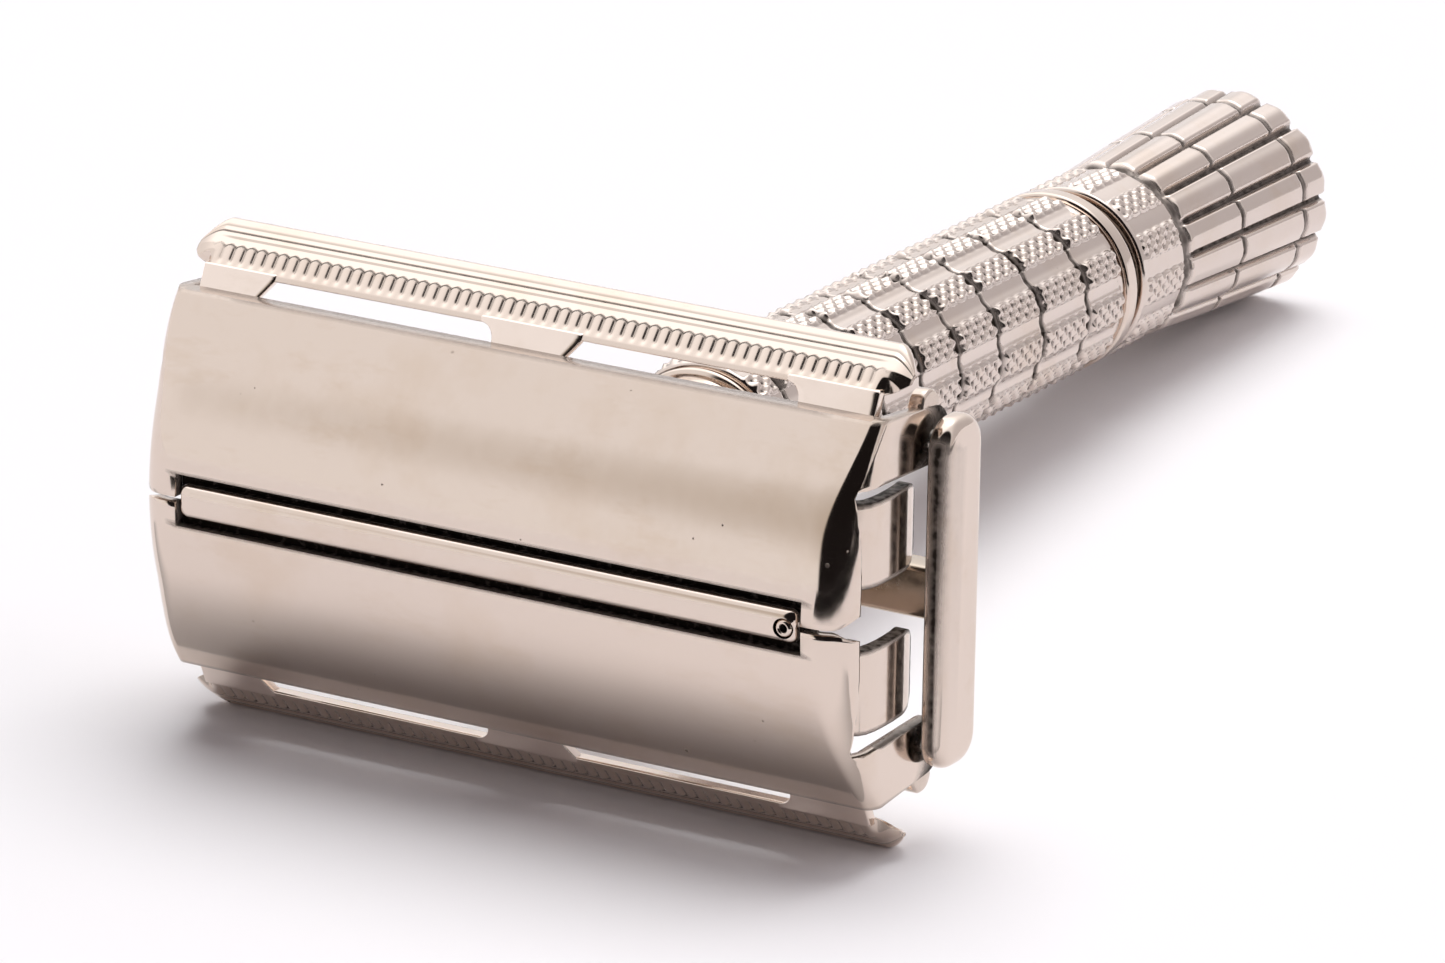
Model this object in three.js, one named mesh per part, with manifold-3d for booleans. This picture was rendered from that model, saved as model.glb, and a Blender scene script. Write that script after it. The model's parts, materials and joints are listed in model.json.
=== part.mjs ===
// Twist-to-open double-edge safety razor, lying on its side.
// Millimetres, +Z up. Each piece is drawn in the razor's own frame and one outer group lays the
// razor down. Razor frame: X along the head, Y across the head, Z along the handle with the head
// on top, and the level of the closed doors' outer edges at Z = 0.
import * as THREE from 'three';
import { mergeVertices } from 'three/addons/utils/BufferGeometryUtils.js';
import Module from 'manifold-3d';

const wasm = await Module();
wasm.setup();

// ---- driving dimensions ----
const SHEET = 0.8; // stamped plate thickness
const RUN = 0.15; // clearance between closed doors and the platform
const FIT = 0.08; // radial gap of a push fit
const LOOSE = 0.1; // gap of a loose fit, and of a riveted head over its plate

const DOOR_HALF_LENGTH = 21.18;
const DOOR_HALF_WIDTH = 10.25;
const DOOR_CROWN = 3.49; // rise of the closed doors from outer edges to the middle
const DOOR_SHEET = 0.7;
const DOOR_GAP = 0.15; // half the gap between the doors at the ends of the head
const DOOR_NOTCH_HALF_LENGTH = 18.75;
const DOOR_NOTCH_HALF_WIDTH = 1.41;
const DOOR_END_WALL_FOOT = 1.72;
const DOOR_ARM_INNER = 6.5;
const DOOR_BEND = 0.85;

const PIVOT_Y = 8.0;
const PIVOT_Z = -5.3;
const KNUCKLE_RADIUS = 1.75;
const PIN_RADIUS = 0.62;
const PIN_HOLE_RADIUS = 0.72;
const PIN_PROUD = 0.4; // how far a pin stands in from the door's end wall

const PLATFORM_HALF_LENGTH = 19.9;
const PLATFORM_HALF_WIDTH = 9.3;
const BRIDGE_HALF_LENGTH = 20.2;
const RAIL_HALF_LENGTH = 22.2;
const RAIL_INNER = 11.25;
const RAIL_INNER_Z = -1.35;
const LIP_Y = 12.95; // centre of the rolled lip
const LIP_Z = -3.9;
const LIP_RADIUS = 0.6;
const KNEE_Y = 13.15; // where the rail turns down into its lip
const KNEE_Z = -3.0;
const SLOT_OUTER_END = 15.75;
const SLOT_INNER_END = 2.35;
const ARM_RELIEF = 11.95; // the rail is cut back to here where a door arm swings past

const TAB_INNER = 1.62;
const TAB_OUTER = 6.1;

const BAR_HALF_LENGTH = 18.5;
const BAR_HALF_WIDTH = 0.9;
const BAR_TOP = 3.64;
const BAR_RIVET_X = 17.6;
const BAR_RIVET_RADIUS = 0.42;
const BAR_RIVET_HEAD = 0.8;

const CARRIER_HALF_WIDTH = 1.4;
const CARRIER_TOP = -4.7;
const CARRIER_DEPTH = 1.9;
const CARRIER_REACH = 22.0;
const CARRIER_HOLE_RADIUS = 0.9;

const CAP_INNER = 21.55;
const CAP_OUTER = 22.75;
const CAP_HALF_WIDTH = 9.1;
const CAP_TOP = -4.0;
const CAP_BOTTOM = -8.4;
const CAP_CORNER = 1.6;
const CAP_BEVEL = 0.35;
const CAP_POCKET = 0.55; // depth of the blind holes that hold the pins and the carrier bar

const NECK_RADIUS = 4.1;
const NECK_BORE = 3.2;
const NECK_FLANGE = 5.0;
const NECK_SHOULDER_RADIUS = 4.75;
const NECK_SLOT_HALF_WIDTH = 1.55;
const NECK_SLOT_FOOT = -6.9;
const NECK_SPIGOT_FOOT = -24;

const BARREL_TOP = -18.5;
const BARREL_FOOT = -56;
const BARREL_RADIUS = 5.15;
const BARREL_BORE = 4.0;
const BARREL_PANELS = [4.1, 5.2, 4.8, 4.4, 4.2, 4.2, 4.2, 4.2]; // lengths, from the foot up
const BARREL_GROOVE_WIDTH = 0.5;
const BARREL_GROOVE_DEPTH = 0.25;

const RING_FOOT = -57.3;
const RING_BORE = 2.95;
const RING_RADIUS = 5.2;
const RING_SPIGOT_TOP = -54.4;

const BUSH_FOOT = -31;
const BUSH_TOP = -27;

const WASHER_RADIUS = 4.3;
const WASHER_BORE = 3.1;
const WASHER_HALF_THICKNESS = 0.15;
const WASHER_WAVE = 0.14;
const WASHER_WAVES = 3;

const KNOB_TOP = -58.4;
const KNOB_GROOVE = -63.5; // between the knurled band and the ribbed flare
const KNOB_FOOT = -78.9;
const KNOB_BAND_RADIUS = 5.2;
const KNOB_FLARE_RADIUS = 6.15;
const KNOB_BORE = 4.0;
const KNOB_RIBS = 16;
const KNOB_RIB_PHASE = THREE.MathUtils.degToRad(-5.35);
const KNOB_RIB_DEPTH = 0.45;
const KNOB_FOOT_ROUND = 0.6; // height of the rounded end of the ribs
const KNOB_FOOT_INSET = 0.45;
const KNOB_TOP_WALL = 1.2; // of the knob, over its bore
const PLUG_TOP = -77.4;

const ROD_RADIUS = 2.0;
const ROD_THREAD_RADIUS = 2.3;
const ROD_THREAD_TOP = -44;
const ROD_SHOULDER_RADIUS = 2.8;
const ROD_SHOULDER_HEIGHT = 1.2;
const ROD_HEAD_RADIUS = 1.15;
const ROD_TENON_RADIUS = 0.8; // through the carrier bar
const ROD_FOOT = -74;
const NUT_BORE = 2.45;
const NUT_SPINDLE_RADIUS = 2.8;
const NUT_FLANGE_RADIUS = 3.6;
const NUT_FLANGE_HEIGHT = 0.9;
const NUT_FOOT = -70;

const ROUND = 28; // facets round a turned part
const FINE_ROUND = 12; // facets round a pin
const FAR = 30; // past the ends of every piece of the head

// Height of the closed doors' outer face at a distance y from the middle of the head.
const CROWN_RADIUS = (DOOR_HALF_WIDTH ** 2 + DOOR_CROWN ** 2) / (2 * DOOR_CROWN);
const CROWN_CENTRE = DOOR_CROWN - CROWN_RADIUS;
const crownHeight = (y, depth = 0) => CROWN_CENTRE + Math.sqrt((CROWN_RADIUS - depth) ** 2 - y * y);
const PLATFORM_DEPTH = DOOR_SHEET + RUN;

// ---- shape helpers ----

function solid(geometry) {
  const bare = geometry.clone();
  bare.deleteAttribute('normal');
  bare.deleteAttribute('uv');
  const merged = mergeVertices(bare, 1e-5);
  return new wasm.Manifold(new wasm.Mesh({
    numProp: 3,
    vertProperties: new Float32Array(merged.attributes.position.array),
    triVerts: new Uint32Array(merged.index.array),
  }));
}

function geometryOf(body) {
  const mesh = body.getMesh();
  const geometry = new THREE.BufferGeometry();
  geometry.setAttribute('position', new THREE.BufferAttribute(mesh.vertProperties, 3));
  geometry.setIndex(new THREE.BufferAttribute(mesh.triVerts, 1));
  geometry.computeVertexNormals();
  return geometry;
}

function block(x0, x1, y0, y1, z0, z1) {
  const box = new THREE.BoxGeometry(x1 - x0, y1 - y0, z1 - z0);
  return box.translate((x0 + x1) / 2, (y0 + y1) / 2, (z0 + z1) / 2);
}

// Turned part: outline points [radius, z] revolved about Z.
function turned(outline, segments = ROUND) {
  const points = outline.map(([radius, z]) => new THREE.Vector2(radius, z));
  const area = THREE.ShapeUtils.area(points);
  if (area < 0) points.reverse();
  points.push(points[0].clone());
  return new THREE.LatheGeometry(points, segments).rotateX(Math.PI / 2);
}

// Tube between two heights.
function tube(outer, bore, z0, z1, segments = ROUND) {
  return turned([[bore, z0], [outer, z0], [outer, z1], [bore, z1]], segments);
}

// Solid cylinder between two heights, to cut a bore.
function tubeCutter(radius, z0, z1) {
  return solid(turned([[0, z0], [radius, z0], [radius, z1], [0, z1]]));
}

// Round bar along X.
function rodAlongX(radius, x0, x1, y, z, segments = FINE_ROUND) {
  const rod = new THREE.CylinderGeometry(radius, radius, x1 - x0, segments);
  return rod.rotateZ(Math.PI / 2).translate((x0 + x1) / 2, y, z);
}

// Outline in Y and Z, extruded along X.
function extrudeAlongX(shape, x0, x1, options = {}) {
  const settings = { depth: x1 - x0, bevelEnabled: false, curveSegments: 6, ...options };
  const geometry = new THREE.ExtrudeGeometry(shape, settings);
  const turn = new THREE.Matrix4().makeBasis(
    new THREE.Vector3(0, 1, 0), new THREE.Vector3(0, 0, 1), new THREE.Vector3(1, 0, 0));
  return geometry.applyMatrix4(turn).translate(x0, 0, 0);
}

// Outline in Z and X, extruded along Y.
function extrudeAlongY(shape, y0, y1) {
  const geometry = new THREE.ExtrudeGeometry(shape, { depth: y1 - y0, bevelEnabled: false });
  const turn = new THREE.Matrix4().makeBasis(
    new THREE.Vector3(0, 0, 1), new THREE.Vector3(1, 0, 0), new THREE.Vector3(0, 1, 0));
  return geometry.applyMatrix4(turn).translate(0, y0, 0);
}

function outline(points) {
  return new THREE.Shape(points.map(([a, b]) => new THREE.Vector2(a, b)));
}

// Points along the crowned surface, sunk by depth, from y0 to y1.
function crownPoints(y0, y1, depth, steps = 10) {
  return Array.from({ length: steps + 1 }, (_, i) => {
    const y = y0 + ((y1 - y0) * i) / steps;
    return [y, crownHeight(y, depth)];
  });
}

function roundedRectangle(y0, y1, z0, z1, radius) {
  const shape = new THREE.Shape();
  shape.moveTo(y0 + radius, z0);
  shape.lineTo(y1 - radius, z0);
  shape.absarc(y1 - radius, z0 + radius, radius, -Math.PI / 2, 0, false);
  shape.lineTo(y1, z1 - radius);
  shape.absarc(y1 - radius, z1 - radius, radius, 0, Math.PI / 2, false);
  shape.lineTo(y0 + radius, z1);
  shape.absarc(y0 + radius, z1 - radius, radius, Math.PI / 2, Math.PI, false);
  shape.lineTo(y0, z0 + radius);
  shape.absarc(y0 + radius, z0 + radius, radius, Math.PI, 1.5 * Math.PI, false);
  return shape;
}

// ---- guard, blade bar and neck (fixed to the handle) ----

// Sheet section of one rail: slopes out and down from the drain slots to a rolled lip.
function railOutline() {
  const lip = Array.from({ length: 7 }, (_, i) => {
    const angle = THREE.MathUtils.degToRad(40 - 35 * i);
    return [LIP_Y + LIP_RADIUS * Math.cos(angle), LIP_Z + LIP_RADIUS * Math.sin(angle)];
  });
  return [[RAIL_INNER, RAIL_INNER_Z], [KNEE_Y, KNEE_Z], ...lip, [RAIL_INNER, RAIL_INNER_Z - SHEET]];
}

function mirrored(points) {
  return points.map(([y, z]) => [-y, z]).reverse();
}

// Bent end tab as [z, x] points: hangs from the end of the platform, steps out under the door's
// end, curls in.
function tabOutline(side) {
  const outer = [[3, 19.85], [1.1, 19.85], [0.4, 20.75], [-1.3, 20.95], [-2.6, 20.7], [-3.7, 20.0]];
  const inner = [[-3.4, 19.4], [-2.2, 19.95], [-1.2, 20.15], [0.1, 20.0], [0.7, 19.1], [3, 19.1]];
  const points = [...outer, ...inner].map(([z, x]) => [z, side * x]);
  return side > 0 ? points.reverse() : points;
}

// Flat webs that join the platform to one rail, at both ends of the head and between the slots.
function webSections(side) {
  const overlap = 0.3;
  const platformY = PLATFORM_HALF_WIDTH - overlap;
  const railY = RAIL_INNER + overlap;
  const platformEdge = crownHeight(PLATFORM_HALF_WIDTH, PLATFORM_DEPTH);
  const bridge = [[railY, RAIL_INNER_Z - 0.25], [platformY, platformEdge],
    [platformY, platformEdge - SHEET + 0.2], [railY, RAIL_INNER_Z - SHEET]];
  const section = outline(side > 0 ? bridge : mirrored(bridge));
  return [[-BRIDGE_HALF_LENGTH, -SLOT_OUTER_END], [-SLOT_INNER_END, SLOT_INNER_END],
    [SLOT_OUTER_END, BRIDGE_HALF_LENGTH]].map(([x0, x1]) => solid(extrudeAlongX(section, x0, x1)));
}

// One rail, cut back at both ends where the door arms swing past.
function railSolid(side) {
  const section = outline(side > 0 ? railOutline() : mirrored(railOutline()));
  let bar = solid(extrudeAlongX(section, -RAIL_HALF_LENGTH, RAIL_HALF_LENGTH));
  const [y0, y1] = side > 0 ? [0, ARM_RELIEF] : [-ARM_RELIEF, 0];
  for (const [x0, x1] of [[BRIDGE_HALF_LENGTH, FAR], [-FAR, -BRIDGE_HALF_LENGTH]]) {
    bar = bar.subtract(solid(block(x0, x1, y0, y1, -FAR, FAR)));
  }
  return bar;
}

// One end tab, trimmed to the underside of the platform's crown.
function tabSolid(side, end) {
  const [y0, y1] = side > 0 ? [TAB_INNER, TAB_OUTER] : [-TAB_OUTER, -TAB_INNER];
  const tab = solid(extrudeAlongY(outline(tabOutline(end)), y0, y1));
  const reach = 11;
  const crown = crownPoints(reach, -reach, PLATFORM_DEPTH, 16);
  return tab.intersect(solid(extrudeAlongX(outline([[-reach, -9], [reach, -9], ...crown]), -FAR, FAR)));
}

function rivetHole() {
  const radius = BAR_RIVET_RADIUS + LOOSE;
  return new THREE.CylinderGeometry(radius, radius, 4, FINE_ROUND).rotateX(Math.PI / 2)
    .translate(0, 0, 2);
}

function guardPlate() {
  const top = crownPoints(-PLATFORM_HALF_WIDTH, PLATFORM_HALF_WIDTH, PLATFORM_DEPTH, 16);
  const under = top.map(([y, z]) => [y, z - SHEET]).reverse();
  let plate = solid(extrudeAlongX(outline([...top, ...under]), -PLATFORM_HALF_LENGTH,
    PLATFORM_HALF_LENGTH));
  for (const side of [1, -1]) {
    for (const section of webSections(side)) plate = plate.add(section);
    plate = plate.add(railSolid(side));
    for (const end of [1, -1]) plate = plate.add(tabSolid(side, end));
  }
  for (const end of [1, -1]) {
    const hole = rivetHole().translate(end * BAR_RIVET_X, 0, 0);
    plate = plate.subtract(solid(hole));
  }
  return geometryOf(plate);
}

// Narrow bar between the doors that passes through the slot of the blade.
function centreBar() {
  const shape = new THREE.Shape();
  const straight = BAR_HALF_LENGTH - BAR_HALF_WIDTH;
  shape.moveTo(-straight, -BAR_HALF_WIDTH);
  shape.lineTo(straight, -BAR_HALF_WIDTH);
  shape.absarc(straight, 0, BAR_HALF_WIDTH, -Math.PI / 2, Math.PI / 2, false);
  shape.lineTo(-straight, BAR_HALF_WIDTH);
  shape.absarc(-straight, 0, BAR_HALF_WIDTH, Math.PI / 2, 1.5 * Math.PI, false);
  const foot = crownHeight(0, PLATFORM_DEPTH) + 0.05;
  for (const end of [1, -1]) {
    const hole = new THREE.Path();
    hole.absarc(end * BAR_RIVET_X, 0, BAR_RIVET_RADIUS + LOOSE, 0, 2 * Math.PI, true);
    shape.holes.push(hole);
  }
  const settings = { depth: BAR_TOP - foot, bevelEnabled: false, curveSegments: 6 };
  return new THREE.ExtrudeGeometry(shape, settings).translate(0, 0, foot);
}

function barRivet() {
  const foot = crownHeight(0, PLATFORM_DEPTH) - SHEET - LOOSE;
  return turned([[0, foot - 0.5], [BAR_RIVET_HEAD, foot - 0.35], [BAR_RIVET_HEAD, foot],
    [BAR_RIVET_RADIUS, foot], [BAR_RIVET_RADIUS, BAR_TOP - 0.2], [0, BAR_TOP - 0.05]], FINE_ROUND);
}

function neckCollar() {
  const top = crownHeight(NECK_FLANGE, PLATFORM_DEPTH) - SHEET - LOOSE;
  const spigot = BARREL_BORE - LOOSE;
  const shoulder = BARREL_TOP + LOOSE;
  const body = solid(turned([[NECK_BORE, NECK_SPIGOT_FOOT], [spigot, NECK_SPIGOT_FOOT],
    [spigot, shoulder], [NECK_SHOULDER_RADIUS, shoulder], [NECK_SHOULDER_RADIUS, shoulder + 0.4],
    [NECK_RADIUS, BARREL_TOP + 1.2], [NECK_RADIUS, top - 1.8], [NECK_FLANGE, top - 0.7],
    [NECK_FLANGE, top], [NECK_BORE, top]]));
  const slot = block(-9, 9, -NECK_SLOT_HALF_WIDTH, NECK_SLOT_HALF_WIDTH, NECK_SLOT_FOOT, 3);
  return geometryOf(body.subtract(solid(slot)));
}

// ---- barrel and its inner parts ----

function handleBarrel() {
  const points = [[BARREL_BORE, BARREL_FOOT], [BARREL_RADIUS, BARREL_FOOT]];
  const half = BARREL_GROOVE_WIDTH / 2;
  let z = BARREL_FOOT;
  for (const length of BARREL_PANELS) {
    z += length;
    points.push([BARREL_RADIUS, z - half], [BARREL_RADIUS - BARREL_GROOVE_DEPTH, z],
      [BARREL_RADIUS, z + half]);
  }
  points.push([BARREL_RADIUS, BARREL_TOP - 0.3], [BARREL_RADIUS - 0.3, BARREL_TOP],
    [BARREL_BORE, BARREL_TOP]);
  return turned(points);
}

function rodGuideBush() {
  return tube(BARREL_BORE - FIT, ROD_RADIUS + LOOSE, BUSH_FOOT, BUSH_TOP, 20);
}

// Plain turned ring that closes the barrel and traps the spindle of the drive nut.
function barrelEndRing() {
  const spigot = BARREL_BORE - FIT;
  const top = BARREL_FOOT - LOOSE;
  return turned([[RING_BORE, RING_FOOT], [RING_RADIUS - 0.3, RING_FOOT],
    [RING_RADIUS, RING_FOOT + 0.3], [RING_RADIUS, top - 0.3], [RING_RADIUS - 0.2, top],
    [spigot, top], [spigot, RING_SPIGOT_TOP], [RING_BORE, RING_SPIGOT_TOP]]);
}

// Waved spring washer that gives the knob its drag.
function springWasher() {
  const geometry = tube(WASHER_RADIUS, WASHER_BORE, -WASHER_HALF_THICKNESS,
    WASHER_HALF_THICKNESS, 24);
  const position = geometry.attributes.position;
  for (let i = 0; i < position.count; i += 1) {
    const angle = Math.atan2(position.getY(i), position.getX(i));
    position.setZ(i, position.getZ(i) + WASHER_WAVE * Math.cos(WASHER_WAVES * angle));
  }
  return geometry.translate(0, 0, (RING_FOOT + KNOB_TOP) / 2);
}

// ---- knob ----

// Radius of the knob's outer face at a height z, at the crest of its ribs.
function knobRadius(z) {
  const t = Math.min(1, Math.max(0, (KNOB_GROOVE - z) / (KNOB_GROOVE - KNOB_FOOT)));
  return THREE.MathUtils.lerp(KNOB_BAND_RADIUS, KNOB_FLARE_RADIUS, t ** 0.9);
}

// Ribbed flare: a cog outline lofted through a few heights. A rib's points are given by their
// share of the rib's pitch and of the depth of the valley between ribs.
function knobFlare() {
  const cog = [];
  const ribPoints = [[-0.36, 0.3], [-0.16, 0], [0.16, 0], [0.36, 0.3], [0.5, 1]];
  const step = (2 * Math.PI) / KNOB_RIBS;
  for (let i = 0; i < KNOB_RIBS; i += 1) {
    for (const [part, depth] of ribPoints) {
      const angle = (i + part) * step + KNOB_RIB_PHASE;
      const radius = 1 - (depth * KNOB_RIB_DEPTH) / KNOB_FLARE_RADIUS;
      cog.push([radius * Math.cos(angle), radius * Math.sin(angle)]);
    }
  }
  const start = KNOB_FOOT + KNOB_FOOT_ROUND;
  const third = (KNOB_GROOVE - start) / 3;
  const heights = [KNOB_FOOT, start, start + third, start + 2 * third, KNOB_GROOVE];
  const steps = heights.length - 1;
  const geometry = new THREE.ExtrudeGeometry(outline(cog), { depth: 1, steps, bevelEnabled: false });
  const position = geometry.attributes.position;
  for (let i = 0; i < position.count; i += 1) {
    const z = heights[Math.round(position.getZ(i) * steps)];
    const radius = knobRadius(z) - (z === KNOB_FOOT ? KNOB_FOOT_INSET : 0);
    position.setXYZ(i, position.getX(i) * radius, position.getY(i) * radius, z);
  }
  return geometry;
}

function twistKnob() {
  const band = turned([[0, KNOB_GROOVE - 0.1], [KNOB_BAND_RADIUS - 0.35, KNOB_GROOVE - 0.1],
    [KNOB_BAND_RADIUS - 0.35, KNOB_GROOVE + 0.25], [KNOB_BAND_RADIUS, KNOB_GROOVE + 0.45],
    [KNOB_BAND_RADIUS, KNOB_TOP - 0.3], [KNOB_BAND_RADIUS - 0.3, KNOB_TOP], [0, KNOB_TOP]]);
  const bore = tubeCutter(KNOB_BORE, KNOB_FOOT - 1, KNOB_TOP - KNOB_TOP_WALL);
  const neck = tubeCutter(NUT_SPINDLE_RADIUS + LOOSE, KNOB_TOP - 2, KNOB_TOP + 1);
  return geometryOf(solid(knobFlare()).add(solid(band)).subtract(bore).subtract(neck));
}

// Threaded nut inside the knob; its spindle runs through the barrel's end ring to a flange.
function driveNut() {
  const body = KNOB_BORE - FIT;
  const bodyTop = KNOB_TOP - KNOB_TOP_WALL - LOOSE;
  const flangeFoot = RING_SPIGOT_TOP + LOOSE;
  const flangeTop = flangeFoot + NUT_FLANGE_HEIGHT;
  return turned([[NUT_BORE, NUT_FOOT], [body, NUT_FOOT], [body, bodyTop],
    [NUT_SPINDLE_RADIUS, bodyTop], [NUT_SPINDLE_RADIUS, flangeFoot],
    [NUT_FLANGE_RADIUS, flangeFoot], [NUT_FLANGE_RADIUS, flangeTop], [NUT_BORE, flangeTop]]);
}

function knobEndPlug() {
  const foot = KNOB_FOOT - 0.1;
  const rim = KNOB_BORE - FIT;
  return turned([[0, foot], [rim - 0.3, foot], [rim, foot + 0.3], [rim, PLUG_TOP], [0, PLUG_TOP]]);
}

// ---- carrier that lifts the doors ----

function pushRod() {
  const shoulder = CARRIER_TOP - CARRIER_DEPTH - LOOSE;
  const shoulderFoot = shoulder - ROD_SHOULDER_HEIGHT;
  const head = CARRIER_TOP + LOOSE;
  return turned([[0, ROD_FOOT], [ROD_THREAD_RADIUS - 0.4, ROD_FOOT],
    [ROD_THREAD_RADIUS, ROD_FOOT + 0.6], [ROD_THREAD_RADIUS, ROD_THREAD_TOP],
    [ROD_RADIUS, ROD_THREAD_TOP + 0.4], [ROD_RADIUS, shoulderFoot],
    [ROD_SHOULDER_RADIUS, shoulderFoot], [ROD_SHOULDER_RADIUS, shoulder],
    [ROD_TENON_RADIUS, shoulder], [ROD_TENON_RADIUS, head], [ROD_HEAD_RADIUS, head],
    [ROD_HEAD_RADIUS - 0.25, head + 0.4], [0, head + 0.5]], 20);
}

function carrierBar() {
  const bar = solid(block(-CARRIER_REACH, CARRIER_REACH, -CARRIER_HALF_WIDTH, CARRIER_HALF_WIDTH,
    CARRIER_TOP - CARRIER_DEPTH, CARRIER_TOP));
  const hole = tubeCutter(CARRIER_HOLE_RADIUS, CARRIER_TOP - CARRIER_DEPTH - 1, CARRIER_TOP + 1);
  return geometryOf(bar.subtract(hole));
}

function endCap(side) {
  const inset = CAP_BEVEL;
  const shape = roundedRectangle(-CAP_HALF_WIDTH + inset, CAP_HALF_WIDTH - inset,
    CAP_BOTTOM + inset, CAP_TOP - inset, CAP_CORNER - inset);
  const bevel = { bevelEnabled: true, bevelSize: inset, bevelThickness: inset, bevelSegments: 2 };
  const geometry = extrudeAlongX(shape, CAP_INNER + inset, CAP_OUTER - inset, bevel);
  let cap = solid(geometry);
  for (const y of [PIVOT_Y, -PIVOT_Y]) {
    const pocket = rodAlongX(PIN_HOLE_RADIUS, CAP_INNER - 1, CAP_INNER + CAP_POCKET, y, PIVOT_Z);
    cap = cap.subtract(solid(pocket));
  }
  cap = cap.subtract(solid(block(CAP_INNER - 1, CAP_INNER + CAP_POCKET,
    -CARRIER_HALF_WIDTH - FIT, CARRIER_HALF_WIDTH + FIT,
    CARRIER_TOP - CARRIER_DEPTH - FIT, CARRIER_TOP + FIT)));
  return geometryOf(cap).rotateZ(side > 0 ? 0 : Math.PI);
}

function hingePin(side, y) {
  const near = DOOR_HALF_LENGTH - DOOR_SHEET - PIN_PROUD;
  const far = CAP_INNER + CAP_POCKET - LOOSE;
  const [x0, x1] = side > 0 ? [near, far] : [-far, -near];
  return rodAlongX(PIN_RADIUS, x0, x1, y, PIVOT_Z);
}

// ---- doors ----

// Side view of the door on the +Y side: crowned top, end wall, arm and knuckle.
function doorOutline() {
  const shape = outline(crownPoints(DOOR_HALF_WIDTH, DOOR_GAP, 0, 12));
  shape.lineTo(DOOR_GAP, DOOR_END_WALL_FOOT);
  shape.lineTo(DOOR_ARM_INNER, DOOR_END_WALL_FOOT);
  shape.lineTo(PIVOT_Y - KNUCKLE_RADIUS, PIVOT_Z);
  shape.absarc(PIVOT_Y, PIVOT_Z, KNUCKLE_RADIUS, Math.PI, 2 * Math.PI, false);
  shape.lineTo(DOOR_HALF_WIDTH - 0.15, -1.2);
  return shape;
}

function door(side) {
  const straight = DOOR_HALF_LENGTH - DOOR_BEND;
  const bend = { bevelEnabled: true, bevelSize: DOOR_BEND, bevelThickness: DOOR_BEND, bevelSegments: 3 };
  const crown = outline([...crownPoints(13, -3, DOOR_BEND, 14), [-3, -12], [13, -12]]);
  const rounded = solid(extrudeAlongX(crown, -straight, straight, bend));
  const full = solid(extrudeAlongX(doorOutline(), -DOOR_HALF_LENGTH, DOOR_HALF_LENGTH));
  const inside = DOOR_HALF_LENGTH - DOOR_SHEET;
  const under = outline([...crownPoints(13, -2, DOOR_SHEET, 14), [-2, -9], [13, -9]]);
  const notch = block(-DOOR_NOTCH_HALF_LENGTH, DOOR_NOTCH_HALF_LENGTH, -1,
    DOOR_NOTCH_HALF_WIDTH, 0, 6);
  let shell = full.intersect(rounded);
  shell = shell.subtract(solid(extrudeAlongX(under, -inside, inside))).subtract(solid(notch));
  for (const end of [1, -1]) {
    const middle = end * (DOOR_HALF_LENGTH - DOOR_SHEET / 2);
    const hole = rodAlongX(PIN_HOLE_RADIUS, middle - 1, middle + 1, PIVOT_Y, PIVOT_Z);
    shell = shell.subtract(solid(hole));
  }
  return geometryOf(shell).rotateZ(side > 0 ? 0 : Math.PI);
}

// ---- materials and assembly ----

function nickel(colour, roughness) {
  return new THREE.MeshStandardMaterial({ color: colour, roughness, metalness: 1 });
}

const plate = () => nickel(0xcfc6ba, 0.22);
const bright = () => nickel(0xded8cf, 0.14);
const worn = () => nickel(0xb9ad9c, 0.35);
const brass = () => nickel(0xb08d55, 0.4);
const steel = () => nickel(0x8f8d8a, 0.35);

const razor = new THREE.Group();

function addPiece(name, geometry, material) {
  const mesh = new THREE.Mesh(geometry, material);
  mesh.name = name;
  razor.add(mesh);
  return mesh;
}

addPiece('guard_plate', guardPlate(), plate());
addPiece('centre_bar', centreBar(), bright());
for (const [side, label] of [[-1, 'left'], [1, 'right']]) {
  addPiece(`bar_rivet_${label}`, barRivet(), steel()).position.x = side * BAR_RIVET_X;
}
addPiece('neck_collar', neckCollar(), worn());
addPiece('handle_barrel', handleBarrel(), plate());
addPiece('rod_guide_bush', rodGuideBush(), brass());
addPiece('barrel_end_ring', barrelEndRing(), bright());
addPiece('spring_washer', springWasher(), steel());

addPiece('twist_knob', twistKnob(), plate());
addPiece('drive_nut', driveNut(), brass());
addPiece('knob_end_plug', knobEndPlug(), plate());

addPiece('push_rod', pushRod(), steel());
addPiece('carrier_bar', carrierBar(), worn());
for (const [side, label] of [[-1, 'left'], [1, 'right']]) {
  addPiece(`end_cap_${label}`, endCap(side), bright());
  addPiece(`hinge_pin_upper_${label}`, hingePin(side, PIVOT_Y), steel());
  addPiece(`hinge_pin_lower_${label}`, hingePin(side, -PIVOT_Y), steel());
}
addPiece('door_upper', door(1), bright());
addPiece('door_lower', door(-1), bright());

// Lay the razor down so that the lower lip of the guard and the rim of the knob share one level.
const drop = LIP_Y + LIP_RADIUS - KNOB_FLARE_RADIUS;
const tilt = Math.atan2(drop, LIP_Z - (KNOB_FOOT + KNOB_FOOT_ROUND));
razor.rotation.x = Math.PI / 2 - tilt;
const part = new THREE.Group();
part.add(razor);
part.updateMatrixWorld(true);
const bounds = new THREE.Box3().setFromObject(part, true);
const middle = bounds.getCenter(new THREE.Vector3());
razor.position.set(-middle.x, -middle.y, -bounds.min.z);
part.updateMatrixWorld(true);

export default part;
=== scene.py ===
# Looks of the twist-to-open safety razor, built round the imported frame.
# Pieces are drawn in the razor's own frame, in millimetres: X along the head, Y across the head,
# Z along the handle with the head on top, and Z = 0 at the closed doors' outer edges.
import json
import math

import bmesh
import bpy
import numpy as np
from mathutils import Matrix, Vector


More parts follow.
